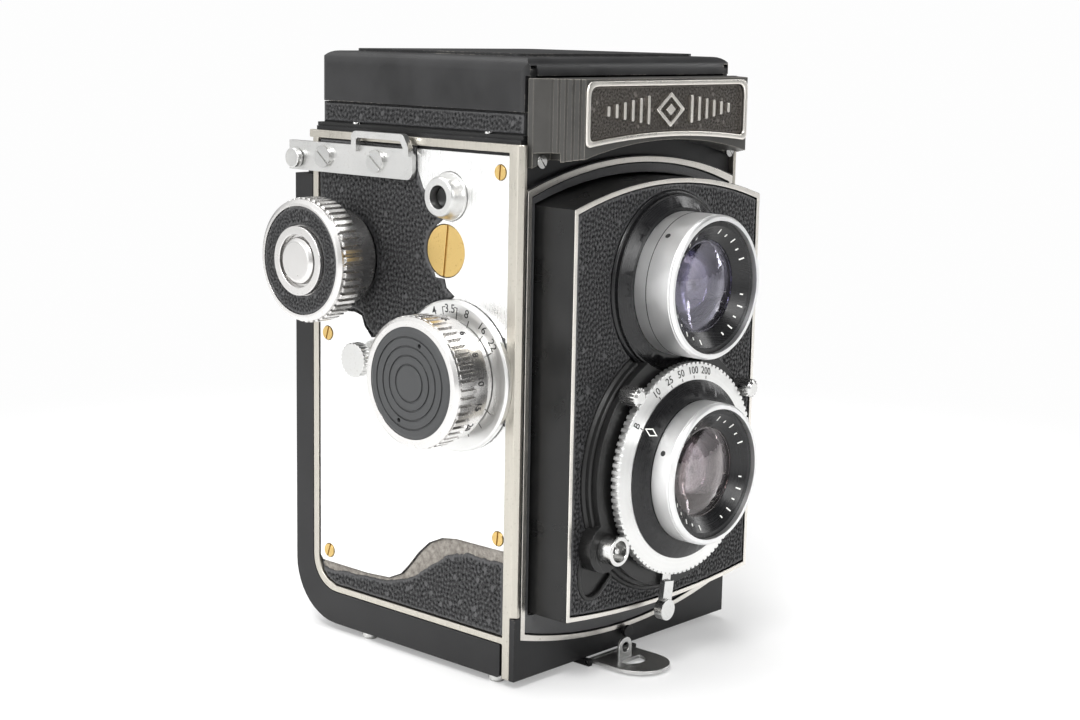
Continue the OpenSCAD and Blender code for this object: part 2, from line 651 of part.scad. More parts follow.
module viewing_flange() color(lacquer) on_front(board_y, view_z) difference() {
  union() {
    cylinder(h = 1.3, r = 19.6);
    cone(1.3, 1.5, 19.2, 16.8);
    disc(-4, 4.1, 13);
  }
  disc(-5, 9, 11.5);
}
module lens_barrel(length) difference() {
  union() {
    cylinder(h = length - 1.1, r = rim_radius);
    disc(length - 1.1, 0.5, rim_radius - 0.15);
    cone(length - 0.6, 0.6, rim_radius, rim_radius - 0.5);
  }
  disc(-1, length + 2, barrel_bore);
  disc(length - 4.2, 5, 14.7);
}
module viewing_lens_barrel() color(nickel)
  on_front(view_back_y, view_z) lens_barrel(view_length);
module taking_lens_barrel() color(nickel)
  on_front(take_back_y, take_z) lens_barrel(take_length);
module retaining_ring() difference() {
  cylinder(h = 3.0, r = 14.65);
  disc(-1, 5, 10.2);
  cone(0.6, 2.5, 10.2, 13.6);
}
module lens_retaining_rings() color(deep_black) {
  on_front(view_tip_y + 4.1, view_z) retaining_ring();
  on_front(take_tip_y + 4.1, take_z) retaining_ring();
}
// domed front face of a lens (radius, height)
lens_dome = concat([[0, 0.4]], [for (i = [0 : 10])
  let (x = 10.0 * (1 - i / 10)) [x, 0.45 + 2.0 * (1 - x * x / 100)]]);
module lens_elements() color([0.55, 0.5, 0.75])
  for (place = [[view_tip_y + 4.2, view_z], [take_tip_y + 4.15, take_z]])
    on_front(place[0], place[1]) union() {
      disc(-2, 2, 11.4);
      cylinder(h = 0.5, r = 10.15);
      rotate_extrude() polygon(lens_dome);
    }

// ---- shutter ----
sync_place = [-23.6, -14.6];           // flash socket from the shutter axis (x, z)
shutter_base = 3.4;                    // thickness of the housing plate
blade_pivot = 15.5;                    // distance of the blade pins from the axis

// local z = 0 is the face of the lens board
module on_shutter() on_front(board_y, take_z) children();
module shutter_shell() color(lacquer) on_shutter() difference() {
  union() {
    cylinder(h = shutter_base, r = 27.3);
    translate([sync_place[0], sync_place[1], 0]) cylinder(h = shutter_base, r = 5.6);
    disc(-4, 4.1, 12);
    cylinder(h = 7.2, r = 16.0);
  }
  // room for the viewing flange
  translate([0, view_z - take_z, -1]) cylinder(h = 6, r = 20);
  // light path
  disc(-5, 14, 9.5);
  // blade chamber, round the light path
  disc(0.9, 1.6, 21.3);
  disc(3.0, 6, 11.8);
}
module shutter_pins() color([0.5, 0.5, 0.5]) on_shutter()
  for (s = [-1, 1]) translate([0, s * blade_pivot, 0.85]) cylinder(h = 1.7, r = 0.8);
module shutter_housing() union() {
  shutter_shell();
  shutter_pins();
}
module shutter_face() color(deep_black) on_shutter() difference() {
  union() {
    cone(7.25, 1.85, 20.4, 16.3);
    disc(5.6, 1.7, 18);
  }
  disc(5, 2.2, 16.03);
  disc(5, 6, 11.9);
  disc(9.02, 6, 18);
}
module speed_ring() color(bright_chrome) on_shutter() difference() {
  union() {
    grip(4.55, 1.95, speed_radius, 0.45, speed_serrations);
    cone(6.5, 0.65, speed_radius - 0.5, 20.9);
  }
  disc(3, 5, 18.06);
}
// lever on a thin ring round the shutter hub
module ring_lever(z, angle, width = 2.4) {
  difference() {
    disc(z, 0.3, 17.9);
    disc(z - 1, 3, 16.06);
  }
  rotate([0, 0, angle]) block([16.8, -width / 2, z], [9.6, width, 0.3]);
}
// ring lever with a knurled stub beyond the speed ring
module stub_lever(z, angle) union() {
  ring_lever(z, angle);
  rotate([0, 0, angle]) translate([26.8, 0, z + 0.01]) {
    grip(0, 4.2, 2.1, 0.25, 16);
    cone(4.2, 0.5, 1.8, 1.3);
  }
}
module aperture_lever() color(satin) on_shutter() stub_lever(3.45, 135);
module cocking_lever() color(satin) on_shutter() stub_lever(3.8, 36);
module release_lever() color([0.3, 0.3, 0.3]) on_shutter() union() {
  angle = 262;
  ring_lever(4.15, angle, 3);
  rotate([0, 0, angle]) block([26, -1.6, 4.0], [6.4, 3.2, 1.4]);
  rotate([0, 0, angle]) translate([32.5, -0.2, 3.9]) cylinder(h = 2.2, r = 2.4);
}
// half disc with a pivot arm at its upper end
module blade(z) translate([0, 0, z]) linear_extrude(0.3) difference() {
  union() {
    polygon(concat(arc([0, 0], 10.3, 88, 272, 20), [[0.5, -10.2], [0.5, 10.2]]));
    polygon([[-6.5, 7], [1.5, 9.5], [1.5, 14], [0, 17.2], [-2.6, 16.6], [-7.5, 7]]);
  }
  translate([0, blade_pivot]) circle(r = 0.86);
}
module shutter_blade_a() color([0.3, 0.3, 0.33]) on_shutter() blade(1.15);
module shutter_blade_b() color([0.3, 0.3, 0.33])
  on_shutter() rotate([0, 0, 180]) blade(1.85);
module sync_socket() color(nickel)
  on_front(board_y - shutter_base, take_z + sync_place[1], sync_place[0]) union() {
    difference() {
      cylinder(h = 3.8, r = 3.3);
      disc(0.6, 4, 2.3);
    }
    cylinder(h = 3.0, r = 0.7);
  }

// ---- back door ----
window_z = 32;                         // height of the counting window
spring_posts = [-15, 15];              // x of the pressure plate posts
spring_z = 46;
door_bend = [21.2, 16];                // centre of the outer lower rear bend (y, z)

module door_blank() {
  yz(-half_width, half_width) polygon(concat(
    [[-33.2, 2.6], [-32.6, underside], [door_bend[0], underside]],
    arc(door_bend, 14, -80, 0, 10), [[35.2, 109.5], [29.15, 109.5]],
    arc(corner, 8.15, 0, -90, 10), [[-33.2, 9.75]]));
  // hinge knuckle
  on_right(door_axis, -34) cylinder(h = 68, r = 2.9);
  block([-34, 31.4, 109], [68, 3.8, 4]);
  // latch lugs under the front edge
  for (x = [-14.4, 1.4]) block([x, -39.1, 0.3], [1.2, 8, 1.5]);
  block([-14.4, -33.0, 0.9], [17, 2, 1.2]);
}
module back_door() color(body_black) difference() {
  union() door_blank();
  // hollow of the rear panel and of the bottom tray
  block([-33.5, 20, 16], [67, 13.4, 90]);
  block([-33.5, -30.8, 3.2], [67, 52, 10]);
  yz(-33.5, 33.5) polygon(concat([[10, 3.2], [20, 3.2]],
    arc(door_bend, 12.3, -85, 0, 8), [[33.4, 20], [10, 20]]));
  // hinge bore, counting window, tripod hole, latch pivot
  on_right(door_axis, -40) cylinder(h = 80, r = 1.54);
  on_front(40, window_z) cylinder(h = 10, r = 5);
  cylinder(h = 8, r = 5.0);
  on_right(latch_axis, -20) cylinder(h = 30, r = 0.46);
  for (x = spring_posts) on_front(34.2, spring_z, x) cylinder(h = 3, r = 1.5);
}
module pressure_plate() color([0.15, 0.15, 0.16]) union() {
  block([-29.5, 26.25, 17.5], [59, 1.2, 56]);
  for (x = spring_posts) {
    on_front(34, spring_z, x) cylinder(h = 7, r = 1.4);
    block([x - 2, 27.4, 33], [4, 0.8, 26]);
  }
}
module window_cover() color(nickel) translate([0, 0, window_z]) {
  block([-7, 35.3, -6.4], [14, 0.9, 12.8]);
  for (x = [-2.6, 1.0]) block([x, 36.1, -2.6], [1.6, 1.1, 5.2]);
}
module tripod_socket() color(nickel) difference() {
  union() {
    cylinder(h = 1.95, r = 8.5);
    disc(1.9, 3.7, 4.95);
  }
  disc(-1, 8, 3.175);
}
module feet() color(nickel)
  for (x = [-35, 35], y = [-29.8, 12]) translate([x, y, 0]) union() {
    cylinder(h = 0.6, r1 = 1.5, r2 = 2);
    disc(0.6, 1.35, 2);
  }
module door_latch() color(chrome) difference() {
  eye_x = -5.9;
  union() {
    on_right(latch_axis, -13.0) cylinder(h = 14.2, r = 0.75);
    on_right(latch_axis, -13.9) cylinder(h = 16, r = 0.4);
    // rounded tongue
    translate([0, 0, 0.7]) linear_extrude(0.8) polygon(concat(
      [[1.2, latch_axis[0]], [-13.0, latch_axis[0]]], arc([eye_x, -47], 7.1, 180, 360, 12)));
    // eye that drops over the catch stud
    xz(-42.9, -42.3) polygon(concat([[-8.2, 1.3], [-3.6, 1.3]],
      arc([eye_x, 4.0], 2.3, 0, 180, 10)));
  }
  xz(-43, -42) polygon(arc([eye_x, 3.9], 1.2, 0, 360, 20));
  linear_extrude(3) polygon(arc([eye_x, -44.2], 3.6, 180, 360, 14));
}

body_casting();
side_trim();
side_plate();
side_leather();
front_leather();
brass_screws();
steel_screws();
strap_lugs();
door_hinge_pin();
release_bush();
brass_plug();
dof_dial();
stop_button();
accessory_shoe();
hood_base();
nameplate();
ground_glass();
reflex_mirror();
film_roller();
hood_cover();
hood_flap_left();
hood_flap_right();
hood_flap_rear();
magnifier_frame();
magnifier_lens();
advance_knob();
advance_knob_leather();
advance_knob_cap();
advance_shaft();
ratchet_wheel();
takeup_spool();
supply_spool();
upper_spool_pull();
lower_spool_pull();
advance_release_button();
focus_knob();
focus_knob_insert();
focus_shaft();
lens_board();
lens_board_leather();
viewing_flange();
viewing_lens_barrel();
lens_retaining_rings();
lens_elements();
shutter_housing();
shutter_face();
taking_lens_barrel();
speed_ring();
aperture_lever();
cocking_lever();
release_lever();
shutter_blade_a();
shutter_blade_b();
sync_socket();
back_door();
pressure_plate();
window_cover();
tripod_socket();
feet();
door_latch();
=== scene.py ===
"""A worn twin-lens reflex camera: coverings, trim, engraving, finishes and a white studio.

Frame: +Z is up, the lenses look along -Y, the focus and advance knobs are on the left (-X).
Shapes are given in millimetres and scaled to metres as meshes are made. The stage, lights
and viewpoint are in metres.
"""
import bpy, bmesh, math
import numpy as np
from mathutils import Matrix, Vector, kdtree
from mathutils.geometry import delaunay_2d_cdt


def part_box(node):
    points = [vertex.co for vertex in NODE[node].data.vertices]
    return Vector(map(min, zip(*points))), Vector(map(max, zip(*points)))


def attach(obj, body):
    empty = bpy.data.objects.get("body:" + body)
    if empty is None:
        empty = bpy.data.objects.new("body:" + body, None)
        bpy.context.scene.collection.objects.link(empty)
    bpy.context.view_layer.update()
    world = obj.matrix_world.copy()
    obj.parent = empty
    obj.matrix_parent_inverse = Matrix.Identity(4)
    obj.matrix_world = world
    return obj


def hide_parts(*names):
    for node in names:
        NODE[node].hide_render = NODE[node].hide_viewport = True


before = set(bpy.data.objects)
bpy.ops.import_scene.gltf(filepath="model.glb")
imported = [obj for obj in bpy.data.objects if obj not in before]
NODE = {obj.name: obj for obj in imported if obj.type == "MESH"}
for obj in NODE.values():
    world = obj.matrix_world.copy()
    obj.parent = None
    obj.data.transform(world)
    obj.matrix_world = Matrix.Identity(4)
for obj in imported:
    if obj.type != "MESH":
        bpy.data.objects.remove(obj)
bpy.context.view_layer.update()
MM = 0.001


# ------------------------------------------------------------------ node helpers
class Graph:
    """Adds nodes to a tree. An input is a number, a colour of three, or another node's output."""

    def __init__(self, owner, output):
        owner.use_nodes = True
        self.tree = owner.node_tree
        self.tree.nodes.clear()
        self.out = self.node(output)

    def node(self, kind, inputs=None, **settings):
        made = self.tree.nodes.new("ShaderNode" + kind)
        for key, value in settings.items():
            setattr(made, key, value)
        for key, value in (inputs or {}).items():
            self.put(made.inputs[key], value)
        return made

    def put(self, socket, value):
        if isinstance(value, bpy.types.NodeSocket):
            self.tree.links.new(value, socket)
        elif socket.type == "RGBA":
            socket.default_value = (*value, 1)
        else:
            socket.default_value = value

    def surface(self, shader):
        self.tree.links.new(shader, self.out.inputs[0])

    def math(self, operation, first, second=0.0, clamp=False):
        inputs = {0: first, 1: second}
        return self.node("Math", inputs, operation=operation, use_clamp=clamp).outputs[0]

    def add(self, first, second, clamp=False):
        return self.math("ADD", first, second, clamp)

    def subtract(self, first, second):
        return self.math("SUBTRACT", first, second)

    def times(self, value, by):
        return self.math("MULTIPLY", value, by)

    def remap(self, value, start, end, low=0, high=1, **settings):
        """Takes start..end to low..high."""
        inputs = {"Value": value, "From Min": start, "From Max": end,
                  "To Min": low, "To Max": high}
        return self.node("MapRange", inputs, **settings).outputs[0]

    def vary(self, noise, low=0, high=1):
        """Spreads the usual range of a noise over low..high."""
        return self.remap(noise, start=0.3, end=0.7, low=low, high=high)

    def blend(self, factor, first, second):
        return self.node("MixShader", {0: factor, 1: first, 2: second}).outputs[0]


class Material(Graph):
    """A material whose textures are laid out in object space, in millimetres."""

    def __init__(self, name):
        self.material = bpy.data.materials.new(name)
        super().__init__(self.material, "OutputMaterial")
        local = self.node("TexCoord").outputs["Object"]
        self.coords = self.node("VectorMath", {0: local, "Scale": 1 / MM},
                                operation="SCALE").outputs[0]

    def noise(self, scale, detail=3.0, rough=0.55, stretch=None, distortion=0.0):
        coords = self.coords
        if stretch:
            coords = self.node("Mapping", {"Vector": coords, "Scale": stretch}).outputs[0]
        return self.node("TexNoise", {
            "Vector": coords, "Scale": scale, "Detail": detail, "Roughness": rough,
            "Distortion": distortion}).outputs["Fac"]

    def lines(self, distance, scale, rough):
        """Noise along one distance only, as a lathe tool leaves."""
        inputs = {"W": distance, "Scale": scale, "Detail": 4.0, "Roughness": rough}
        return self.node("TexNoise", inputs, noise_dimensions="1D").outputs["Fac"]

    def turned_coords(self, axis):
        """Distance from a turning axis and place along it.

        axis: the letter of its direction, its place across (y for an x axis, x for a y axis), z.
        """
        direction, centre_across, centre_z = axis
        along = "xy".index(direction)
        parts = self.node("SeparateXYZ", {0: self.coords}).outputs
        across = self.subtract(parts[1 - along], centre_across)
        height = self.subtract(parts[2], centre_z)
        squares = self.add(self.times(across, across), self.times(height, height))
        return self.math("SQRT", squares), parts[along]

    def mix(self, factor, first, second):
        return self.node("Mix", {0: factor, 6: first, 7: second},
                         data_type="RGBA", blend_type="MIX").outputs[2]

    def bump(self, height, depth, strength=1.0):
        """depth in mm"""
        inputs = {"Height": height, "Distance": depth * MM, "Strength": strength}
        return self.node("Bump", inputs).outputs[0]

    def edge_mask(self, radius):
        """1 on convex and concave edges; radius in mm"""
        bevel = self.node("Bevel", {"Radius": radius * MM}, samples=6).outputs[0]
        normal = self.node("NewGeometry").outputs["Normal"]
        agreement = self.node("VectorMath", {0: bevel, 1: normal},
                              operation="DOT_PRODUCT").outputs["Value"]
        return self.remap(self.subtract(1.0, agreement), start=0.02, end=0.25)

    def principled(self, **inputs):
        """Input names are written with underscores for spaces."""
        named = {key.replace("_", " "): value for key, value in inputs.items()}
        shader = self.node("BsdfPrincipled", named).outputs[0]
        self.surface(shader)
        return shader


def scaled(color, factor, lift=0.0):
    return tuple(c * factor + lift for c in color)


# ------------------------------------------------------------------ finishes
def enamel(name, base=(0.006, 0.006, 0.0065), rough=0.32, wear=0.5, grain=0.012):
    """Black baked enamel over metal, rubbed through along edges."""
    m = Material(name)
    bare_metal = (0.42, 0.39, 0.34)
    patches = m.noise(scale=0.09, detail=4)
    specks = m.noise(scale=5.0, rough=0.7)
    spots = m.noise(scale=0.9, detail=5, rough=0.75)
    scratches = m.noise(scale=1.2, detail=4, rough=0.8, stretch=(1, 0.06, 0.9), distortion=0.6)
    rubbed = m.remap(m.add(spots, m.times(patches, by=0.5)),
                     start=0.98 - 0.36 * wear, end=1.1 - 0.3 * wear)
    worn = m.times(m.edge_mask(radius=0.35), rubbed)
    color = m.mix(m.vary(patches), base, scaled(base, factor=1.6, lift=0.002))
    speckle = m.times(m.remap(specks, start=0.66, end=0.72), by=0.3)
    color = m.mix(speckle, color, scaled(base, factor=3, lift=0.015))
    scratched = m.times(m.remap(scratches, start=0.6, end=0.75), by=0.14)
    roughness = m.add(m.vary(patches, low=rough - 0.05, high=rough + 0.1), scratched)
    relief = m.add(m.times(m.noise(scale=2.2, detail=2), by=0.6), m.times(specks, by=0.4))
    m.principled(
        Base_Color=m.mix(worn, color, bare_metal),
        Roughness=m.mix(worn, roughness, (0.4, 0.4, 0.4)),
        Metallic=m.times(worn, by=0.85),
        Normal=m.bump(relief, depth=grain, strength=0.9),
        Specular_IOR_Level=0.3)
    return m.material


def metal(name, base, rough, stain, brush=None, axis=None, dark=(0.34, 0.31, 0.27), wave=0.0):
    """Plated metal.

    brush: stretch of straight scratches; axis: turning axis of turned parts;
    stain: amount of dark grime and pits; wave: height of slow undulation.
    """
    m = Material(name)
    patches = m.noise(scale=0.16, detail=4, rough=0.6)
    blotches = m.noise(scale=1.4, detail=5, rough=0.7)
    if axis:
        radius, along = m.turned_coords(axis)
        rings = m.lines(radius, scale=7.0, rough=0.8)
        # the shift keeps the noise along the axis unlike the noise across it
        bands = m.lines(m.add(along, 31.0), scale=5.0, rough=0.8)
        marks = m.times(m.add(rings, bands), by=0.5)
    elif brush:
        marks = m.noise(scale=3.0, detail=5, rough=0.75, stretch=brush)
    else:
        marks = m.noise(scale=6.0, detail=4, rough=0.7)
    grime = m.times(m.remap(blotches, start=0.56, end=0.72),
                    by=m.remap(patches, start=0.42, end=0.62, high=stain))
    dots = m.noise(scale=4.5, detail=2, rough=0.5)
    pits = m.times(m.remap(dots, start=0.70, end=0.76), by=stain)
    color = m.mix(m.vary(marks), scaled(base, factor=0.9), base)
    color = m.mix(grime, color, dark)
    color = m.mix(pits, color, scaled(dark, factor=0.6))
    dulling = m.add(m.times(grime, by=0.5), m.vary(patches, low=-0.03, high=0.06))
    roughness = m.add(m.vary(marks, low=rough - 0.05, high=rough + 0.07), dulling, clamp=True)
    relief = m.add(marks, m.times(m.noise(scale=0.12, detail=2), by=wave))
    m.principled(Base_Color=color, Roughness=roughness, Metallic=1.0,
                 Normal=m.bump(relief, depth=0.006, strength=0.8))
    return m.material


def leatherette(name, base=(0.0070, 0.0070, 0.0074), rough=0.36, size=1.0):
    """Pebbled covering: dull valleys darkened as painted shade, crowns lightened as painted
    highlight.
    """
    m = Material(name)
    patches = m.noise(scale=0.07, detail=4)
    cell_edge = m.node("TexVoronoi", {"Vector": m.coords, "Scale": 2.1 / size, "Randomness": 1.0},
                       feature="DISTANCE_TO_EDGE").outputs["Distance"]
    small_cells = m.node("TexVoronoi", {"Vector": m.coords, "Scale": 5.6 / size},
                         feature="F1").outputs["Distance"]
    fine = m.noise(scale=9.0, detail=4, rough=0.7)
    crease = m.remap(cell_edge, start=0.0, end=0.10, low=1, high=0)
    pointiness = m.node("NewGeometry").outputs["Pointiness"]
    # pointiness marks the crowns of the pebbles; the colour below uses it to paint light and shade
    crown = m.remap(pointiness, start=0.478, end=0.530)
    # painted shade in the valleys, painted highlight on the crowns
    color = m.mix(crown, scaled(base, factor=0.45), scaled(base, factor=5.4, lift=0.012))
    faded = m.times(m.remap(patches, start=0.32, end=0.68), by=0.3)
    color = m.mix(faded, color, scaled(base, factor=1.2))
    # lighter scuffs on the crowns: partly wear, partly painted highlight
    scuffs_and_highlight = m.times(m.remap(fine, start=0.5, end=0.75), by=m.times(crown, by=0.5))
    color = m.mix(scuffs_and_highlight, color, scaled(base, factor=5, lift=0.006))
    dust_noise = m.noise(scale=2.6, detail=4, rough=0.8)
    dust = m.times(m.remap(dust_noise, start=0.66, end=0.78), by=0.10)
    color = m.mix(dust, color, (0.10, 0.095, 0.085))
    roughness = m.add(m.remap(crown, start=0.0, end=1.0, low=rough + 0.28, high=rough - 0.05),
                      m.vary(fine, low=-0.04, high=0.06))
    pebbles = m.subtract(m.times(small_cells, by=-0.6), m.times(crease, by=0.5))
    relief = m.add(m.times(fine, by=0.5), pebbles)
    m.principled(
        Base_Color=color, Roughness=roughness,
        Normal=m.bump(relief, depth=0.03, strength=0.8),
        Specular_IOR_Level=m.remap(crown, start=0.0, end=1.0, low=0.08, high=0.5))
    return m.material


def turned_black(name, axis, base=(0.005, 0.005, 0.0055), rough=0.24, dust=0.2):
    """Black turned part, dusty and worn bright at its edges."""
    m = Material(name)
    radius, _ = m.turned_coords(axis)
    rings = m.lines(radius, scale=6.0, rough=0.85)
    patches = m.noise(scale=0.25, detail=4)
    rubbed = m.remap(m.noise(scale=1.8, detail=4, rough=0.8), start=0.52, end=0.62, high=0.8)
    worn = m.times(m.edge_mask(radius=0.12), by=rubbed)
    specks = m.remap(m.noise(scale=7.0, rough=0.8), start=0.68, end=0.74)
    color = m.mix(m.vary(rings), base, scaled(base, factor=1.8))
    color = m.mix(m.times(specks, by=dust), color, (0.3, 0.3, 0.29))
    color = m.mix(worn, color, (0.4, 0.38, 0.35))
    m.principled(
        Base_Color=color,
        Roughness=m.add(m.vary(rings, low=rough - 0.04, high=rough + 0.08),
                        m.vary(patches, low=-0.03, high=0.06)),
        Normal=m.bump(rings, depth=0.006, strength=0.8),
        Metallic=m.times(worn, by=0.8), Specular_IOR_Level=0.36)
    return m.material


def coated_glass(name, coat, reflect, tint=(0.97, 0.96, 0.98), coat_low=None):
    """Coated, slightly dusty glass.

    reflect: share of coating reflection seen face on; coat_low: coating of the lower lens.
    """
    m = Material(name)
    smears = m.noise(scale=0.5)
    if coat_low:
        height = m.node("SeparateXYZ", {0: m.coords}).outputs[2]
        # the two lenses lie either side of this height, in mm
        coat = m.mix(m.remap(height, start=67.0, end=68.0), coat_low, coat)
    glass = m.node("BsdfGlass", {"Color": tint, "Roughness": 0.0, "IOR": 1.5})
    gloss = m.node("BsdfGlossy", {"Color": coat, "Roughness": m.vary(smears, low=0.02, high=0.06)})
    fresnel = m.node("LayerWeight", {"Blend": 0.30}).outputs["Fresnel"]
    reflecting = m.add(m.times(fresnel, by=0.6), reflect, clamp=True)
    dust = m.node("BsdfDiffuse", {"Color": (0.42, 0.41, 0.42)})
    clean = m.blend(reflecting, glass.outputs[0], gloss.outputs[0])
    dusty = m.remap(m.noise(scale=3.0, detail=4, rough=0.8),
                    start=0.52, end=0.8, low=0.004, high=0.05)
    m.surface(m.blend(dusty, clean, dust.outputs[0]))
    return m.material


def ink(name, base=(0.01, 0.01, 0.01)):
    m = Material(name)
    noise = m.noise(scale=3.0, detail=4, rough=0.7)
    m.principled(
        Base_Color=m.mix(m.remap(noise, start=0.35, end=0.75, high=0.5),
                         base, scaled(base, factor=1.8, lift=0.01)),
        Roughness=m.vary(noise, low=0.42, high=0.6), Normal=m.bump(noise, depth=0.004))
    return m.material


def torn_paper(name):
    """Torn backing paper and glue left on the metal."""
    m = Material(name)
    glue, pale, brown = (0.13, 0.115, 0.10), (0.30, 0.28, 0.25), (0.10, 0.085, 0.07)
    patches = m.noise(scale=0.8, detail=6, rough=0.75)
    fibres = m.noise(scale=4.0, detail=5, rough=0.8, stretch=(1, 1, 0.3))
    color = m.mix(m.remap(patches, start=0.35, end=0.65), glue, pale)
    color = m.mix(m.remap(fibres, start=0.52, end=0.7, high=0.8), color, brown)
    m.principled(Base_Color=color, Roughness=0.72,
                 Normal=m.bump(m.add(patches, fibres), depth=0.08))
    return m.material


def frosted_glass(name):
    m = Material(name)
    noise = m.noise(scale=12.0, rough=0.7)
    m.principled(Base_Color=(0.86, 0.9, 0.88), Roughness=m.vary(noise, low=0.45, high=0.6),
                 Transmission_Weight=0.75, Normal=m.bump(noise, depth=0.01), IOR=1.5)
    return m.material


def silvering(name):
    m = Material(name)
    noise = m.noise(scale=0.4, detail=4)
    silver, tarnish = (0.86, 0.88, 0.9), (0.6, 0.58, 0.52)
    m.principled(
        Base_Color=m.mix(m.remap(noise, start=0.55, end=0.75, high=0.4), silver, tarnish),
        Metallic=1.0, Roughness=m.remap(noise, start=0.3, end=0.8, low=0.02, high=0.10))
    return m.material


# turning axes: direction, place across, z
TAKING_AXIS = ("y", 0.0, 47.2)
VIEWING_AXIS = ("y", 0.0, 88.9)
ADVANCE_AXIS = ("x", 17.3, 91.4)
FOCUS_AXIS = ("x", -18.8, 68.3)
BARREL = dict(base=(0.82, 0.82, 0.82), rough=0.40, stain=0.03)

FINISH = {
    "body": enamel("enamel_body", wear=0.35),
    "hood": enamel("enamel_hood", base=(0.011, 0.011, 0.0115), rough=0.34, wear=0.55),
    "crinkle": enamel("enamel_crinkle", base=(0.006, 0.006, 0.006), rough=0.45, wear=0.2,
                      grain=0.05),
    # the shield's enamel is lighter than the body's black as a painted highlight; its edge wear is
    # real wear
    "shield": enamel("enamel_shield", base=(0.030, 0.029, 0.027), rough=0.34, wear=1.35,
                     grain=0.03),
    "board": enamel("enamel_board", base=(0.005, 0.005, 0.005), rough=0.28, wear=0.25),
    "inside": enamel("enamel_inside", base=(0.006, 0.006, 0.006), rough=0.65, wear=0.0),
    "side_trim": metal("nickel_trim", base=(0.52, 0.495, 0.44), rough=0.30,
                       brush=(0.7, 0.7, 0.05), stain=0.7),
    "front_trim": metal("nickel_front", base=(0.78, 0.75, 0.70), rough=0.30, stain=0.55),
    "satin": metal("satin_chrome", base=(0.62, 0.62, 0.61), rough=0.30, stain=0.5),
    "advance": metal("turned_advance", axis=ADVANCE_AXIS, base=(0.68, 0.67, 0.66), rough=0.22,
                     stain=0.35),
    "focus": metal("turned_focus", axis=FOCUS_AXIS, base=(0.70, 0.69, 0.68), rough=0.22,
                   stain=0.3),
    "dial": metal("turned_dial", axis=FOCUS_AXIS, base=(0.72, 0.72, 0.71), rough=0.30,
                  stain=0.12),
    "taking_barrel": metal("turned_taking", axis=TAKING_AXIS, **BARREL),
    "viewing_barrel": metal("turned_viewing", axis=VIEWING_AXIS, **BARREL),
    "speed": metal("turned_speed", axis=TAKING_AXIS, base=(0.80, 0.80, 0.79), rough=0.32,
                   stain=0.12),
    "chrome": metal("chrome", base=(0.68, 0.68, 0.67), rough=0.16, stain=0.3),
    "steel": metal("steel", base=(0.55, 0.54, 0.52), rough=0.32, stain=0.3, brush=(0.1, 1, 1)),
    "bare_plate": metal("bare_sheet", base=(0.93, 0.93, 0.925), rough=0.26, stain=0.07,
                        brush=(1, 1, 0.08), wave=0.3),
    "brass": metal("brass", base=(0.62, 0.44, 0.17), rough=0.36, stain=0.9,
                   dark=(0.25, 0.15, 0.05)),
    "leather": leatherette("leatherette"),
    "fine_leather": leatherette("leatherette_fine", size=0.6),
    "field": leatherette("shield_field", base=(0.014, 0.012, 0.010), rough=0.42, size=0.5),
    "taking_black": turned_black("anodised_taking", TAKING_AXIS),
    "viewing_black": turned_black("anodised_viewing", VIEWING_AXIS),
    "housing_black": turned_black("black_housing", TAKING_AXIS, base=(0.006, 0.006, 0.006),
                                  rough=0.30),
    "insert": turned_black("ebonite", FOCUS_AXIS, base=(0.030, 0.031, 0.032), rough=0.36,
                           dust=0.25),
    "glass": coated_glass("coated_glass", coat=(0.50, 0.49, 0.66), coat_low=(0.55, 0.48, 0.46),
                          reflect=0.05),
    "inner_glass": coated_glass("inner_glass", tint=(0.9, 0.88, 0.92), coat=(0.46, 0.45, 0.66),
                                coat_low=(0.58, 0.46, 0.43), reflect=0.10),
    "magnifier": coated_glass("magnifier_glass", coat=(0.9, 0.95, 1.0), reflect=0.1),
    "ground": frosted_glass("ground_glass"),
    "mirror": silvering("silvered"),
    "ink": ink("engraving_black"),
    "white": ink("engraving_white", base=(0.75, 0.75, 0.72)),
    "backing": torn_paper("torn_backing"),
    "blade": metal("blued_steel", base=(0.10, 0.10, 0.12), rough=0.3, stain=0.2),
}

# ------------------------------------------------------------------ finish of the frame's parts
# finish: the parts that have it
FINISHED_PARTS = {
    "body": "body_casting back_door",
    "hood": "hood_cover",
    "crinkle": "hood_base",
    "shield": "nameplate",
    "board": "lens_board",
    "inside": "hood_flap_left hood_flap_right hood_flap_rear magnifier_frame pressure_plate",
    "side_trim": "side_trim",
    "satin": "strap_lugs door_hinge_pin release_bush stop_button accessory_shoe "
             "upper_spool_pull lower_spool_pull window_cover tripod_socket feet door_latch",
    "advance": "advance_knob advance_knob_cap",
    "focus": "focus_knob",
    "dial": "dof_dial",
    "taking_barrel": "taking_lens_barrel",
    "viewing_barrel": "viewing_lens_barrel",
    "speed": "speed_ring",
    "chrome": "steel_screws aperture_lever cocking_lever release_lever sync_socket",
    "steel": "film_roller advance_shaft ratchet_wheel focus_shaft",
    "bare_plate": "side_plate",
    "brass": "brass_screws brass_plug",
    "leather": "front_leather side_leather lens_board_leather",
    "fine_leather": "advance_knob_leather",
    "taking_black": "lens_retaining_rings shutter_face",
    "viewing_black": "viewing_flange",
    "housing_black": "takeup_spool supply_spool advance_release_button shutter_housing",
    "insert": "focus_knob_insert",
    "glass": "lens_elements",
    "magnifier": "magnifier_lens",
    "ground": "ground_glass",
    "mirror": "reflex_mirror",
    "blade": "shutter_blade_a shutter_blade_b",
}
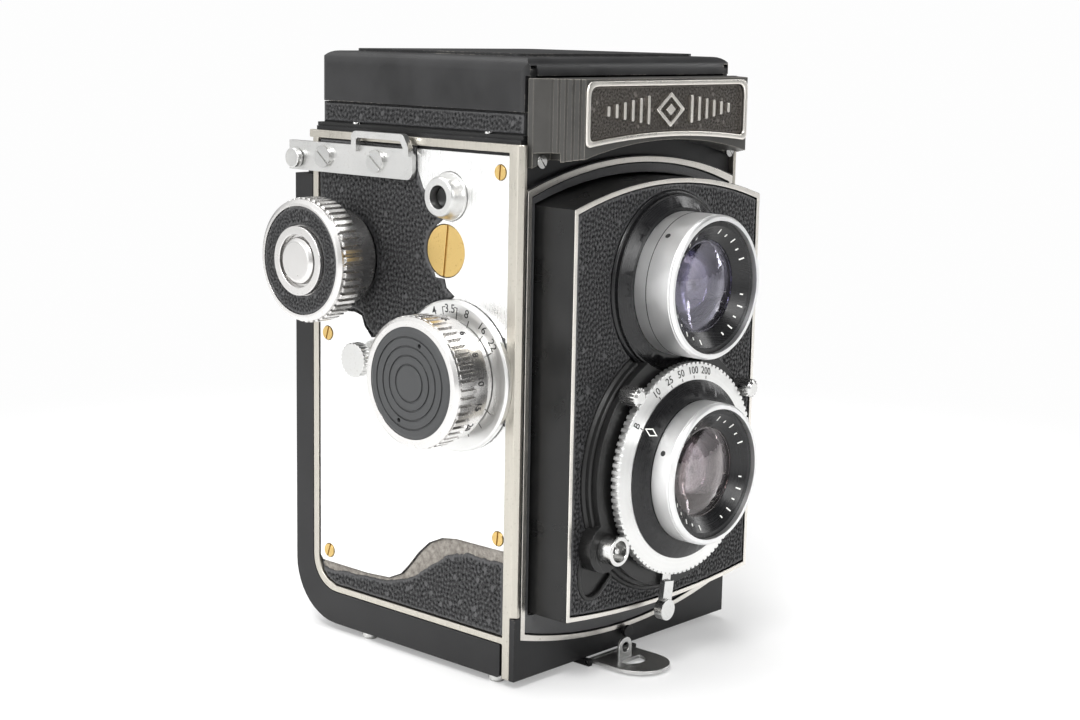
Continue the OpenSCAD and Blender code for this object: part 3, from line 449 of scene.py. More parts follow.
# bevel width in mm: the parts that have it
BEVELLED_PARTS = {
    0.06: "speed_ring",
    0.08: "side_plate brass_screws",
    0.1: "dof_dial steel_screws lens_retaining_rings",
    0.12: "advance_knob focus_knob brass_plug focus_knob_insert door_latch upper_spool_pull "
          "lower_spool_pull stop_button aperture_lever cocking_lever advance_release_button",
    0.15: "hood_base strap_lugs shutter_face taking_lens_barrel viewing_lens_barrel "
          "release_lever",
    0.18: "side_trim",
    0.2: "release_bush accessory_shoe viewing_flange shutter_housing advance_knob_cap "
         "window_cover sync_socket tripod_socket magnifier_frame pressure_plate",
    0.25: "door_hinge_pin",
    0.3: "hood_cover lens_board",
    0.32: "nameplate",
    0.35: "body_casting",
    0.45: "back_door",
}


def by_part(table):
    return {part: value for value, parts in table.items() for part in parts.split()}


def add_bevel(obj, width):
    """Rounded edges, width in mm, with normals weighted to the large faces."""
    bevel = obj.modifiers.new("bevel", "BEVEL")
    bevel.width = width * MM
    bevel.segments = 2
    bevel.limit_method = "ANGLE"
    bevel.angle_limit = math.radians(32)
    obj.modifiers.new("normals", "WEIGHTED_NORMAL").weight = 80
    return bevel


def round_part(obj, width):
    """Cleans the facets of a frame part, then rounds its edges."""
    for polygon in obj.data.polygons:
        polygon.use_smooth = True
    obj.modifiers.new("weld", "WELD").merge_threshold = 2e-6
    planar = obj.modifiers.new("planar", "DECIMATE")
    planar.decimate_type = "DISSOLVE"
    planar.angle_limit = math.radians(0.6)
    add_bevel(obj, width).miter_outer = "MITER_ARC"


part_finish = by_part(FINISHED_PARTS)
part_bevel = by_part(BEVELLED_PARTS)
for part, obj in NODE.items():
    obj.data.materials.clear()
    obj.data.materials.append(FINISH[part_finish[part]])
    if part in part_bevel:
        round_part(obj, part_bevel[part])

# ------------------------------------------------------------------ outlines, as (u, v) in mm


def rect(u0, v0, u1, v1):
    return [(u0, v0), (u1, v0), (u1, v1), (u0, v1)]


def diamond(half_width, half_height, centre_v=0):
    return [(half_width, centre_v), (0, centre_v + half_height),
            (-half_width, centre_v), (0, centre_v - half_height)]


def circle(u, v, radius, count=72):
    angles = [2 * math.pi * i / count for i in range(count)]
    return [(u + radius * math.cos(a), v + radius * math.sin(a)) for a in angles]


def arc(u, v, radius, start, end, steps):
    """start and end in degrees"""
    angles = [math.radians(start + (end - start) * i / steps) for i in range(steps + 1)]
    return [(u + radius * math.cos(a), v + radius * math.sin(a)) for a in angles]


def arched(half_width, bottom, drop, top, rise, steps=24):
    """Upright outline whose bottom bows down by drop and top bows up by rise."""
    top_radius = (half_width * half_width + rise * rise) / (2 * rise)
    low_radius = (half_width * half_width + drop * drop) / (2 * drop)
    top_angle = math.asin(half_width / top_radius)
    low_angle = math.asin(half_width / low_radius)
    outline = []
    for i in range(steps + 1):
        a = -low_angle + 2 * low_angle * i / steps
        outline.append((low_radius * math.sin(a),
                        bottom + low_radius - drop - low_radius * math.cos(a)))
    for i in range(steps + 1):
        a = top_angle - 2 * top_angle * i / steps
        outline.append((top_radius * math.sin(a),
                        top - (top_radius - rise) + top_radius * math.cos(a)))
    return outline


def rounded(outline, radius, steps=5):
    """Rounds the sharp corners of a closed outline."""
    out = []
    count = len(outline)
    for i in range(count):
        before, corner, after = (np.array(outline[(i + d) % count], float) for d in (-1, 0, 1))
        back, ahead = before - corner, after - corner
        back_length, ahead_length = np.linalg.norm(back), np.linalg.norm(ahead)
        if back_length < 1e-9 or ahead_length < 1e-9:
            continue
        back, ahead = back / back_length, ahead / ahead_length
        if np.dot(back, ahead) < -0.9:
            out.append(tuple(corner))
            continue
        reach = min(radius, back_length * 0.45, ahead_length * 0.45)
        start, end = corner + back * reach, corner + ahead * reach
        for j in range(steps + 1):
            t = j / steps
            out.append(tuple((1 - t) ** 2 * start + 2 * t * (1 - t) * corner + t * t * end))
    return out


def inset(outline, distance):
    """Moves a closed outline inwards."""
    points = np.array(outline, float)
    after = np.roll(points, -1, 0)
    tangent = after - np.roll(points, 1, 0)
    length = np.maximum(np.hypot(tangent[:, 0], tangent[:, 1]), 1e-9)
    normal = np.stack([-tangent[:, 1], tangent[:, 0]], 1) / length[:, None]
    if 0.5 * np.sum(points[:, 0] * after[:, 1] - after[:, 0] * points[:, 1]) < 0:
        normal = -normal
    return [tuple(p) for p in points + normal * distance]


def resample(outline, spacing, closed=True):
    out = []
    count = len(outline)
    for i in range(count if closed else count - 1):
        start = np.array(outline[i], float)
        end = np.array(outline[(i + 1) % count], float)
        steps = max(1, int(round(np.linalg.norm(end - start) / spacing)))
        out += [tuple(start + (end - start) * j / steps) for j in range(steps)]
    if not closed:
        out.append(tuple(outline[-1]))
    return out


# ------------------------------------------------------------------ surface noise
def hash01(a, b, seed):
    """Repeatable value from 0 to 1 for a pair of whole numbers."""
    x = (a.astype(np.int64) * 73856093) ^ (b.astype(np.int64) * 19349663) ^ (seed * 83492791)
    x = (x ^ (x >> 13)) * 1274126177 & 0x7FFFFFFF
    x = (x ^ (x >> 15)) & 0xFFFFFF
    return x / float(0x1000000)


def cells(u, v, width, height, seed):
    """Distances to the nearest and second cell centre, and a value of the nearest cell."""
    grid_u, grid_v = u / width, v / height
    column, row = np.floor(grid_u), np.floor(grid_v)
    nearest = np.full(u.shape, 9.0)
    second = np.full(u.shape, 9.0)
    value = np.zeros(u.shape)
    for du in (-1, 0, 1):
        for dv in (-1, 0, 1):
            x, y = column + du, row + dv
            centre_u = x + 0.5 + 0.46 * (hash01(x, y, seed) * 2 - 1)
            centre_v = y + 0.5 + 0.46 * (hash01(x, y, seed + 7) * 2 - 1)
            distance = np.hypot(grid_u - centre_u, grid_v - centre_v)
            nearer = distance < nearest
            second = np.where(nearer, nearest, np.minimum(second, distance))
            value = np.where(nearer, hash01(x, y, seed + 19), value)
            nearest = np.where(nearer, distance, nearest)
    return nearest, second, value


def value_noise(u, v, seed):
    x, y = np.floor(u), np.floor(v)
    s, t = u - x, v - y
    s, t = s * s * (3 - 2 * s), t * t * (3 - 2 * t)
    return (hash01(x, y, seed) * (1 - s) * (1 - t) + hash01(x + 1, y, seed) * s * (1 - t)
            + hash01(x, y + 1, seed) * (1 - s) * t + hash01(x + 1, y + 1, seed) * s * t)


def grain(u, v, seed, cell):
    """Height, 0 to 1, of pebbled leatherette with cells about cell x 1.35 cell mm."""
    warp, warp_size = 0.35 * cell, 1.1 * cell
    warped_u = u + warp * (value_noise(u / warp_size, v / warp_size, seed + 3) - 0.5)
    warped_v = v + warp * (value_noise(u / warp_size + 9, v / warp_size + 5, seed + 4) - 0.5)
    nearest, second, value = cells(warped_u, warped_v, cell, cell * 1.35, seed)
    rise = np.clip((second - nearest) / 0.42, 0, 1)
    height = (rise * (2 - rise)) * (0.72 + 0.28 * value)
    nearest, second, _ = cells(u + 3.1, v + 1.7, cell * 0.45, cell * 0.6, seed + 41)
    height += 0.16 * np.clip((second - nearest) / 0.5, 0, 1) - 0.16
    return np.clip(height, 0, 1)


def torn(outline, amount, seed, spacing, closed=True):
    """Roughens an outline as torn edges are."""
    points = np.array(resample(outline, spacing, closed))
    tangent = np.roll(points, -1, 0) - np.roll(points, 1, 0)
    length = np.maximum(np.hypot(tangent[:, 0], tangent[:, 1]), 1e-9)
    normal = np.stack([tangent[:, 1], -tangent[:, 0]], 1) / length[:, None]
    t = np.arange(len(points)) * spacing
    coarse = value_noise(t / 2.3, t * 0 + 3.3, seed) - 0.5
    fine = value_noise(t / 0.8, t * 0 + 7.7, seed + 1) - 0.5
    return [tuple(p) for p in points + normal * (amount * (coarse * 1.3 + fine * 0.7))[:, None]]


# ------------------------------------------------------------------ mesh helpers
# (u, v) on a face of the camera and w outwards from the origin, to x, y, z
FACE_FRAME = {
    "left": lambda u, v, w: (-w, u, v),
    "right": lambda u, v, w: (w, u, v),
    "front": lambda u, v, w: (u, -w, v),
    "rear": lambda u, v, w: (u, w, v),
}


def add_object(name, mesh, body, slot):
    obj = bpy.data.objects.new(name, mesh)
    bpy.context.scene.collection.objects.link(obj)
    return obj


def add_mesh(name, verts, faces, body, finish, smooth=True, bevel=0.0):
    """verts and bevel in mm; body is the moving body the piece rides on"""
    mesh = bpy.data.meshes.new(name)
    mesh.from_pydata([(x * MM, y * MM, z * MM) for x, y, z in verts], [], faces)
    bm = bmesh.new()
    bm.from_mesh(mesh)
    bmesh.ops.recalc_face_normals(bm, faces=bm.faces)
    bm.to_mesh(mesh)
    bm.free()
    if smooth:
        mesh.polygons.foreach_set("use_smooth", [True] * len(mesh.polygons))
    obj = bpy.data.objects.new(name, mesh)
    bpy.context.scene.collection.objects.link(obj)
    mesh.materials.append(FINISH[finish])
    if bevel:
        add_bevel(obj, bevel)
    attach(obj, body)
    return obj


def side_faces(count):
    return [[i, (i + 1) % count, count + (i + 1) % count, count + i] for i in range(count)]


def ring_faces(n):
    """Faces of a ring; verts are lower outer, lower inner, upper outer, upper inner, n each."""
    faces = []
    for i in range(n):
        j = (i + 1) % n
        faces += [[i, j, n + j, n + i], [2 * n + i, 2 * n + j, 3 * n + j, 3 * n + i],
                  [i, j, 2 * n + j, 2 * n + i], [n + i, n + j, 3 * n + j, 3 * n + i]]
    return faces


def prism(name, outline, face, w0, w1, body, finish, bevel=0.1, slot="chrome"):
    place = FACE_FRAME[face]
    n = len(outline)
    verts = [place(u, v, w) for w in (w0, w1) for u, v in outline]
    caps = [list(range(n))[::-1], list(range(n, 2 * n))]
    add_mesh(name, verts, caps + side_faces(n), body, finish, bevel=bevel)


def band(name, outer, inner, w0, w1, body, finish, bevel, slot="chrome"):
    """Front-facing ring between two outlines with the same number of points."""
    place = FACE_FRAME["front"]
    verts = [place(u, v, w) for w in (w0, w1) for loop in (outer, inner) for u, v in loop]
    add_mesh(name, verts, ring_faces(len(outer)), body, finish, bevel=bevel)


def turned(name, profile, centre_z, body, finish, steps=96, span=None,
           bevel=0.0):
    """Part turned about the line x = 0, z = centre_z along Y.

    profile: closed loop of (radius, y); span: end angles in degrees of a part ring.
    """
    if span:
        start, end = span
        angles = [math.radians(start + (end - start) * i / steps) for i in range(steps + 1)]
    else:
        angles = [2 * math.pi * i / steps for i in range(steps)]
    verts = [(r * math.cos(a), y, centre_z + r * math.sin(a)) for a in angles for r, y in profile]
    size = len(profile)
    faces = []
    for i in range(steps):
        j = (i + 1) % len(angles)
        for p in range(size):
            q = (p + 1) % size
            faces.append([i * size + p, j * size + p, j * size + q, i * size + q])
    if span:
        faces += [list(range(size)), list(range(steps * size, (steps + 1) * size))]
    add_mesh(name, verts, faces, body, finish, bevel=bevel)


def shifted(profile, y0):
    return [(radius, y0 + y) for radius, y in profile]


# ------------------------------------------------------------------ pebbled sheets
def inside(u, v, outline):
    result = np.zeros(u.shape, bool)
    count = len(outline)
    for i in range(count):
        u0, v0 = outline[i]
        u1, v1 = outline[(i + 1) % count]
        if v0 == v1:
            continue
        result ^= ((v0 > v) != (v1 > v)) & (u < (u1 - u0) * (v - v0) / (v1 - v0) + u0)
    return result


def inside_sheet(u, v, loops):
    """Within the first loop and outside the others."""
    result = inside(u, v, loops[0])
    for hole in loops[1:]:
        result &= ~inside(u, v, hole)
    return result


def distances(points, targets):
    """Distance of each point to the nearest target."""
    tree = kdtree.KDTree(len(targets))
    for i, target in enumerate(targets):
        tree.insert((target[0], target[1], 0), i)
    tree.balance()
    return np.array([tree.find((p[0], p[1], 0))[2] for p in points])


def grid_points(outline, loops, boundary, step):
    """Staggered grid within the loops, clear of their points."""
    us, vs = zip(*outline)
    rows = np.arange(min(vs), max(vs), step * 0.87)
    grid_u, grid_v = [], []
    for i, row in enumerate(rows):
        line = np.arange(min(us) + (step / 2 if i % 2 else 0), max(us), step)
        grid_u.append(line)
        grid_v.append(np.full(line.shape, row))
    grid_u, grid_v = np.concatenate(grid_u), np.concatenate(grid_v)
    keep = inside_sheet(grid_u, grid_v, loops)
    points = np.stack([grid_u[keep], grid_v[keep]], 1)
    return points[distances(points, boundary) > step * 0.45]


def triangles_inside(points, faces, loops):
    triangles = np.array([face for face in faces if len(face) == 3])
    centre = points[triangles].mean(1)
    return triangles[inside_sheet(centre[:, 0], centre[:, 1], loops)]


def triangulate(outline, loops, step):
    """Points and counterclockwise triangles that fill the loops."""
    boundary, edges = [], []
    for loop in loops:
        first = len(boundary)
        boundary += loop
        edges += [(first + i, first + (i + 1) % len(loop)) for i in range(len(loop))]
    filling = grid_points(outline, loops, boundary, step)
    seeds = [Vector((float(p[0]), float(p[1]))) for p in boundary]
    seeds += [Vector((float(p[0]), float(p[1]))) for p in filling]
    found, _, faces, _, _, _ = delaunay_2d_cdt(seeds, edges, [], 0, 1e-5, False)
    points = np.array([(p[0], p[1]) for p in found])
    triangles = triangles_inside(points, faces, loops)
    used = np.unique(triangles)
    renumber = -np.ones(len(points), int)
    renumber[used] = np.arange(len(used))
    points = points[used]
    triangles = renumber[triangles]
    a, b, c = (points[triangles[:, i]] for i in range(3))
    area = ((b[:, 0] - a[:, 0]) * (c[:, 1] - a[:, 1])
            - (b[:, 1] - a[:, 1]) * (c[:, 0] - a[:, 0]))
    triangles[area < 0] = triangles[area < 0][:, ::-1]
    return points, triangles


def open_edges(triangles):
    """Directed edges that belong to one triangle only."""
    edges = {}
    for triangle in triangles:
        for i in range(3):
            start, end = int(triangle[i]), int(triangle[(i + 1) % 3])
            if (end, start) in edges:
                del edges[(end, start)]
            else:
                edges[(start, end)] = 1
    return edges


def underside(points, rim, edges, loops, low):
    """Coarse triangles over the edge loops."""
    flat = [Vector((float(points[i][0]), float(points[i][1]))) for i in rim]
    place = {i: j for j, i in enumerate(rim)}
    rim_edges = [(place[start], place[end]) for start, end in edges]
    found, _, faces, sources, _, _ = delaunay_2d_cdt(flat, rim_edges, [], 0, 1e-6, True)
    # left open if the triangulation merged or added points, as they then have no lower vertex
    if len(found) != len(flat):
        return []
    found = np.array([(p[0], p[1]) for p in found])
    return [tuple(low[rim[sources[int(x)][0]]] for x in triangle)
            for triangle in triangles_inside(found, faces, loops)]


def sheet(name, outline, holes, face, base, crown, body, finish, seed, step=0.30, depth=0.25,
          cell=0.86, roll=0.7, slot="leatherette"):
    """A covering with real pebbled relief.

    base and crown: its lowest and highest w; depth: of the relief; cell: pebble size;
    roll: width over which the edges turn down. All in mm.
    """
    loops = [resample(loop, step) for loop in [outline] + holes]
    points, triangles = triangulate(outline, loops, step)
    edges = open_edges(triangles)
    rim = sorted(set(i for edge in edges for i in edge))
    fade = np.clip(distances(points, points[rim]) / roll, 0, 1)
    fade = np.sqrt(np.clip(fade * (2 - fade), 0, 1))
    w = crown - depth * (1 - grain(points[:, 0], points[:, 1], seed, cell))
    w = base + (w - base) * (0.35 + 0.65 * fade)

    place = FACE_FRAME[face]
    verts = [place(point[0], point[1], height) for point, height in zip(points, w)]
    low = {}
    for i in rim:
        low[i] = len(verts)
        verts.append(place(points[i][0], points[i][1], base))
    faces = [tuple(int(x) for x in triangle) for triangle in triangles]
    faces += [(end, start, low[start], low[end]) for start, end in edges]
    faces += underside(points, rim, edges, loops, low)
    return add_mesh(name, verts, faces, body, finish)


# ------------------------------------------------------------------ engraving helpers
# A place is (origin in mm, direction to the right, direction up) of a mark.
def basis(place):
    right, up = Vector(place[1]).normalized(), Vector(place[2]).normalized()
    return Vector(place[0]), right, up, right.cross(up)


def numeral(name, text, size, place, body, depth, bold):
    """A black numeral standing slightly proud of a surface; lengths in mm."""
    curve = bpy.data.curves.new(name + "_c", "FONT")
    curve.body = text
    curve.size = size * MM
    curve.align_x = "CENTER"
    curve.align_y = "CENTER"
    curve.extrude = depth * MM
    curve.offset = bold * MM
    curve.resolution_u = 3
    temporary = bpy.data.objects.new(name + "_t", curve)
    bpy.context.scene.collection.objects.link(temporary)
    bpy.context.view_layer.update()
    depsgraph = bpy.context.evaluated_depsgraph_get()
    mesh = bpy.data.meshes.new_from_object(temporary.evaluated_get(depsgraph))
    bpy.data.objects.remove(temporary)
    origin, right, up, normal = basis(place)
    rows = [(right[i], up[i], normal[i], place[0][i] * MM) for i in range(3)]
    mesh.transform(Matrix((*rows, (0, 0, 0, 1))))
    mesh.materials.clear()
    mesh.materials.append(FINISH["ink"])
    mesh.name = name
    obj = bpy.data.objects.new(name, mesh)
    bpy.context.scene.collection.objects.link(obj)
    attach(obj, body)


def decal(name, outline, place, depth, body, finish, hole=None):
    """A thin raised mark lying on a surface, sunk a little into it."""
    sink = 0.05
    origin, right, up, normal = basis(place)
    loops = [outline, hole] if hole else [outline]
    verts = [tuple(origin + right * u + up * v + normal * w)
             for w in (-sink, depth) for loop in loops for u, v in loop]
    n = len(outline)
    if hole:
        faces = ring_faces(n)
    else:
        faces = [list(range(n)), list(range(n, 2 * n))] + side_faces(n)
    add_mesh(name, verts, faces, body, finish, smooth=False)


# ------------------------------------------------------------------ sizes read from the frame
def box_mm(part):
    low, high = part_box(part)
    return [v * 1000 for v in low], [v * 1000 for v in high]


def centre(part):
    low, high = box_mm(part)
    return [(a + b) / 2 for a, b in zip(low, high)]


plate_low, plate_high = box_mm("side_plate")
CASTING_W = -plate_high[0]              # flank casting plane
SKIN_W = -plate_low[0]                  # outer face of the flank sheet
BOARD_W = -box_mm("lens_board")[0][1]   # face of the lens board
BOARD_Y = -BOARD_W
TAKING_Z = centre("taking_lens_barrel")[2]
VIEWING_Z = centre("viewing_lens_barrel")[2]
_, FOCUS_Y, FOCUS_Z = centre("dof_dial")
_, ADVANCE_Y, ADVANCE_Z = centre("advance_knob_leather")
_, BUSH_Y, BUSH_Z = centre("release_bush")
_, PLUG_Y, PLUG_Z = centre("brass_plug")

# ------------------------------------------------------------------ flank coverings, as (y, z)
FRONT_Y, REAR_Y = -33.7, 27.1
FLANK_BOTTOM, FLANK_TOP = 11.5, 118
CORNER = (21, 17.9, 6.1)        # lower rear corner: y, z, radius
CORNER_START = [(FRONT_Y, FLANK_BOTTOM), (CORNER[0], FLANK_BOTTOM)]
LUG_HOLES = [circle(y, 114, 1.35, 24) for y in (23.5, 5.8)]

# torn lower front edge of what is left above, rear to top
UPPER_TEAR = [
    (26.9, 78.4), (14.7, 79.0), (12.2, 78.4), (11.1, 76.0), (9.0, 73.8), (-3.8, 75.5),
    (-17.2, 86.0), (-14.9, 87.1), (-14.3, 89.7), (-11.6, 89.9), (-8.9, 95.2), (-11.5, 100.9),
    (-14.1, 102.9), (-11.6, 105.2), (-7.3, 109.1), (-5.5, 112.7), (-5.1, FLANK_TOP)]
# torn upper edge of what is left below, front to rear
LOWER_TEAR = [
    (FRONT_Y, 28.2), (-23.1, 28.3), (-19.0, 27.6), (-15.3, 26.1), (-9.8, 22.3), (-5.5, 19.6),
    (-1.0, 17.7), (4.0, 16.6), (12.0, 15.9), (20.2, 15.2), (25.7, 15.3), (27.05, 16.6)]
# backing paper and glue along the lower tear
BACKING = [
    (-33.5, 30.9), (-19, 30.9), (-14.5, 30.1), (-10.3, 28.2), (-6.9, 25.1), (-3.9, 21.6),
    (-1.3, 19.0), (2.8, 17.2), (10.1, 16.7), (25.8, 16.8), (26.6, 16.0), (26.0, 13.5),
    (0, 14), (-10, 20), (-18, 25), (-33.5, 26)]
# scraps of covering stuck beside the dial: outline, seed
SCRAPS = [
    ([(-24.2, 83.4), (-26.9, 82.9), (-29.6, 80.6), (-31.0, 79.4), (-33.4, 78.2),
      (-33.5, 70.4), (-32.0, 74.2), (-31.4, 76.8), (-28.0, 79.6), (-25.6, 81.6)], 3),
    ([(-31.2, 61.6), (-33.3, 62.7), (-33.45, 59.0), (-32.3, 59.6)], 8)]

FLANK_SHEET = dict(base=CASTING_W, crown=SKIN_W + 0.12, body="camera_body", finish="leather")

tear = torn(UPPER_TEAR, 0.55, seed=11, spacing=0.45, closed=False)
upper = [(REAR_Y, 78.4)] + tear[1:-1] + [(-5.1, FLANK_TOP), (REAR_Y, FLANK_TOP)]
upper_holes = LUG_HOLES + [circle(ADVANCE_Y, ADVANCE_Z, 9.7, 60),
                           circle(BUSH_Y, BUSH_Z, 5.6, 40), circle(PLUG_Y, PLUG_Z, 6.1, 40)]
left_upper = sheet("leather_left_upper", upper, upper_holes, "left", seed=5, **FLANK_SHEET)
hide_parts("side_leather")

tear = torn(LOWER_TEAR, 0.5, seed=23, spacing=0.45, closed=False)
lower = CORNER_START + arc(*CORNER, -75, -12, 6) + tear[-2:0:-1] + [LOWER_TEAR[0]]
sheet("leather_left_lower", lower, [], "left", seed=9, **FLANK_SHEET)

flank = CORNER_START + arc(*CORNER, -75, 0, 6) + [(REAR_Y, FLANK_TOP), (FRONT_Y, FLANK_TOP)]
right_holes = LUG_HOLES + [circle(ADVANCE_Y, ADVANCE_Z, 3.1, 30), circle(-13, 15.9, 3.1, 30)]
sheet("leather_right", flank, right_holes, "right", seed=31, **FLANK_SHEET)

sheet("torn_backing", BACKING, [], "left", CASTING_W, CASTING_W + 0.5, "camera_body", "backing",
      step=0.4, depth=0.3, cell=1.7, seed=77, roll=0.4)
for i, (outline, seed) in enumerate(SCRAPS):
    sheet("scrap_%d" % i, torn(outline, 0.5, seed, spacing=0.3), [], "left",
          SKIN_W - 0.05, SKIN_W + 0.27, "camera_body", "leather",
          step=0.25, depth=0.12, cell=0.7, seed=seed, roll=0.3)

# ------------------------------------------------------------------ hood band
HOOD_HALF_WIDTH, HOOD_FRONT, HOOD_REAR = 34.4, -35.0, 29.0
HOOD_BAND_Z = (121.85, 126.25)
HOOD_SIDE = (HOOD_FRONT + 0.3, HOOD_REAR - 0.3, HOOD_HALF_WIDTH)
# face: first and last u, w of the face, seed
HOOD_BANDS = {
    "left": (*HOOD_SIDE, 45),
    "right": (*HOOD_SIDE, 46),
    "rear": (-HOOD_HALF_WIDTH + 0.4, HOOD_HALF_WIDTH - 0.4, HOOD_REAR, 45),
}
for face, (start, end, w, seed) in HOOD_BANDS.items():
    sheet("hood_band_" + face, rect(start, HOOD_BAND_Z[0], end, HOOD_BAND_Z[1]), [], face,
          w - 0.02, w + 0.38, "camera_body", "leather",
          step=0.28, depth=0.2, cell=0.8, seed=seed, roll=0.5)

# ------------------------------------------------------------------ back covering
WINDOW_MARGIN = 1.6
DOOR_W = box_mm("back_door")[1][1]
window_low, window_high = box_mm("window_cover")
window = rounded(rect(-8.6, window_low[2] - WINDOW_MARGIN, 22.0, window_high[2] + WINDOW_MARGIN),
                 2.2)
sheet("leather_back", rounded(rect(-34.5, 20.5, 34.5, 106.0), 3.0), [window], "rear",
      DOOR_W - 0.04, DOOR_W + 0.62, "back_door", "leather", step=0.4, seed=51)

# ------------------------------------------------------------------ lens board
# rounded pocket beside the shutter housing, as (x, z)
POCKET = rounded([
    (-25.0, 36.5), (-28.4, 31.0), (-29.2, 27.4), (-28.7, 23.4), (-26.9, 21.0),
    (-24.4, 20.4), (-22.0, 21.2), (-19.3, 23.4), (-14.2, 27.6), (-17.0, 34.0)], 3.0)
# stepped feet: radius, y from the board face
HOUSING_FOOT = [(27.2, 0.3), (29.0, 0.3), (28.9, -0.35), (28.3, -0.75), (28.2, -1.7),
                (27.9, -2.0), (27.2, -2.05)]
FLANGE_FOOT = [(19.4, 0.3), (20.45, 0.3), (20.4, -0.3), (20.0, -0.62), (19.4, -0.7)]
FOOT_GAP = 27.5     # half angle of the housing foot's opening at the top, degrees

board_high = box_mm("lens_board_leather")[1]
board_leather = sheet(
    "leather_board", arched(board_high[0] - 0.02, 18.05, 2, 105.65, 5.1),
    [circle(0, VIEWING_Z, 20.3), circle(0, TAKING_Z, 28.75), POCKET], "front",
    -board_high[1], BOARD_W + 0.14, "lens_board", "leather",
    step=0.27, depth=0.26, cell=0.84, seed=61, roll=0.55)
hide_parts("lens_board_leather")

band("pocket_lip", inset(POCKET, -0.25), inset(POCKET, 0.7), BOARD_W - 0.75, BOARD_W + 0.30,
     "lens_board", "housing_black", bevel=0.25, slot="black_paint")
prism("pocket_floor", inset(POCKET, 0.4), "front", BOARD_W - 0.85, BOARD_W - 0.6,
      "lens_board", "housing_black", slot="black_paint")
turned("housing_foot", shifted(HOUSING_FOOT, BOARD_Y), TAKING_Z, "lens_board", "housing_black",
       steps=110, span=(90 + FOOT_GAP, 90 - FOOT_GAP + 360), bevel=0.08)
turned("viewing_foot", shifted(FLANGE_FOOT, BOARD_Y), VIEWING_Z, "lens_board", "viewing_black")

# silver edge lines of the board and of the body front
LINE_WIDTH = 0.96
BODY_FRONT_W = 37.5
band("board_line", arched(32.68, 16.92, 2, 106.78, 5.1, 40),
     arched(32.68 - LINE_WIDTH, 16.92 + LINE_WIDTH, 2, 106.78 - LINE_WIDTH, 5.1, 40),
     BOARD_W - 0.1, BOARD_W + 0.22, "lens_board", "front_trim", bevel=0.1)
band("front_line", arched(35.95, 11.25, 5, 110.15, 6, 40), arched(34.68, 12.32, 5, 108.88, 6, 40),
     BODY_FRONT_W - 0.1, BODY_FRONT_W + 0.14, "camera_body", "front_trim", bevel=0.08)

# ------------------------------------------------------------------ name shield
SHIELD_W = -box_mm("nameplate")[0][1]
SHIELD_Z = 127.0        # middle height of the bars and lozenge
BAR_WIDTH, BAR_PITCH = 0.85, 2.7
EMBLEM_DEPTH = (SHIELD_W - 0.5, SHIELD_W + 0.3)


def shield(grow, steps=16):
    """Shield outline, its bottom bowed down at the sides, grown on every side."""
    half = 27.2 + grow
    xs = [-half + 2 * half * i / steps for i in range(steps + 1)]
    bottom = [(x, 122.1 - x * x * 0.0022 - grow) for x in xs]
    return rounded(bottom + [(half, 132.4 + grow), (-half, 132.4 + grow)], 2.4)


band("shield_frame", shield(1.0), shield(-0.15), SHIELD_W - 0.3, SHIELD_W + 0.42,
     "camera_body", "front_trim", bevel=0.3)
sheet("shield_field", shield(-0.1), [], "front", SHIELD_W - 0.62, SHIELD_W - 0.36,
      "camera_body", "field", step=0.22, depth=0.15, cell=0.42, seed=71, roll=0.25,
      slot="black_paint")
for letter, side in (("l", -1), ("r", 1)):
    for i in range(6):
        x = side * (7.6 + i * BAR_PITCH)
        half = 3.1 - 0.4 * i
        outline = rect(x - BAR_WIDTH / 2, SHIELD_Z - half, x + BAR_WIDTH / 2, SHIELD_Z + half)
        prism("shield_bar_%s%d" % (letter, i), rounded(outline, 0.4, 3), "front",
              *EMBLEM_DEPTH, "camera_body", "front_trim", bevel=0.22)
band("shield_lozenge", rounded(diamond(5.0, 3.9, SHIELD_Z), 0.5, 3),
     rounded(diamond(3.7, 2.85, SHIELD_Z), 0.4, 3),
     *EMBLEM_DEPTH, "camera_body", "front_trim", bevel=0.2)
prism("shield_core", rounded(diamond(1.7, 1.3, SHIELD_Z), 0.3, 3), "front",
      *EMBLEM_DEPTH, "camera_body", "front_trim", bevel=0.2)

# ------------------------------------------------------------------ focus dial and knob
# Angles are in degrees from the front (-Y), turning upwards.
DIAL_X = box_mm("dof_dial")[0][0]
DEPTH_NUMBERS = [("4", 111.5), ("3.5", 92.5), ("8", 72.5), ("16", 52.0), ("22", 34.5)]
DEPTH_TICKS = [104.0, 84.0, 68.0, 47.0, 29.0, -29.0, -47.0, -66.0]
# brackets beside the 3.5: angle, outline
DEPTH_LINKS = [
    (101.0, [(-0.11, -0.9), (0.11, -0.9), (0.11, 0.7), (0.9, 0.7), (0.9, 0.9), (-0.11, 0.9)]),
    (84.0, [(-0.11, -0.9), (0.11, -0.9), (0.11, 0.9), (-0.9, 0.9), (-0.9, 0.7), (-0.11, 0.7)])]
DISTANCES = ["3", "3.5", "4", "5", "6", "8", "10", "15", "20", "30", "50"]


def on_focus(angle, radius, x=DIAL_X, up=None):
    """A place about the focus axis, its top outwards unless up is given."""
    c, s = math.cos(math.radians(angle)), math.sin(math.radians(angle))
    return (x, FOCUS_Y - radius * c, FOCUS_Z + radius * s), (0, -s, -c), up or (0, -c, s)


for i, (text, angle) in enumerate(DEPTH_NUMBERS):
    numeral("depth_num_%d" % i, text, 2.7, on_focus(angle, 14.95), "camera_body",
            depth=0.03, bold=0.01)
for i, angle in enumerate(DEPTH_TICKS):
    decal("depth_tick_%d" % i, rect(-0.11, -0.75, 0.11, 0.55), on_focus(angle, 13.35), 0.03,
          "camera_body", "ink")
for i, (angle, outline) in enumerate(DEPTH_LINKS):
    decal("depth_link_%d" % i, outline, on_focus(angle, 14.6), 0.03, "camera_body", "ink")
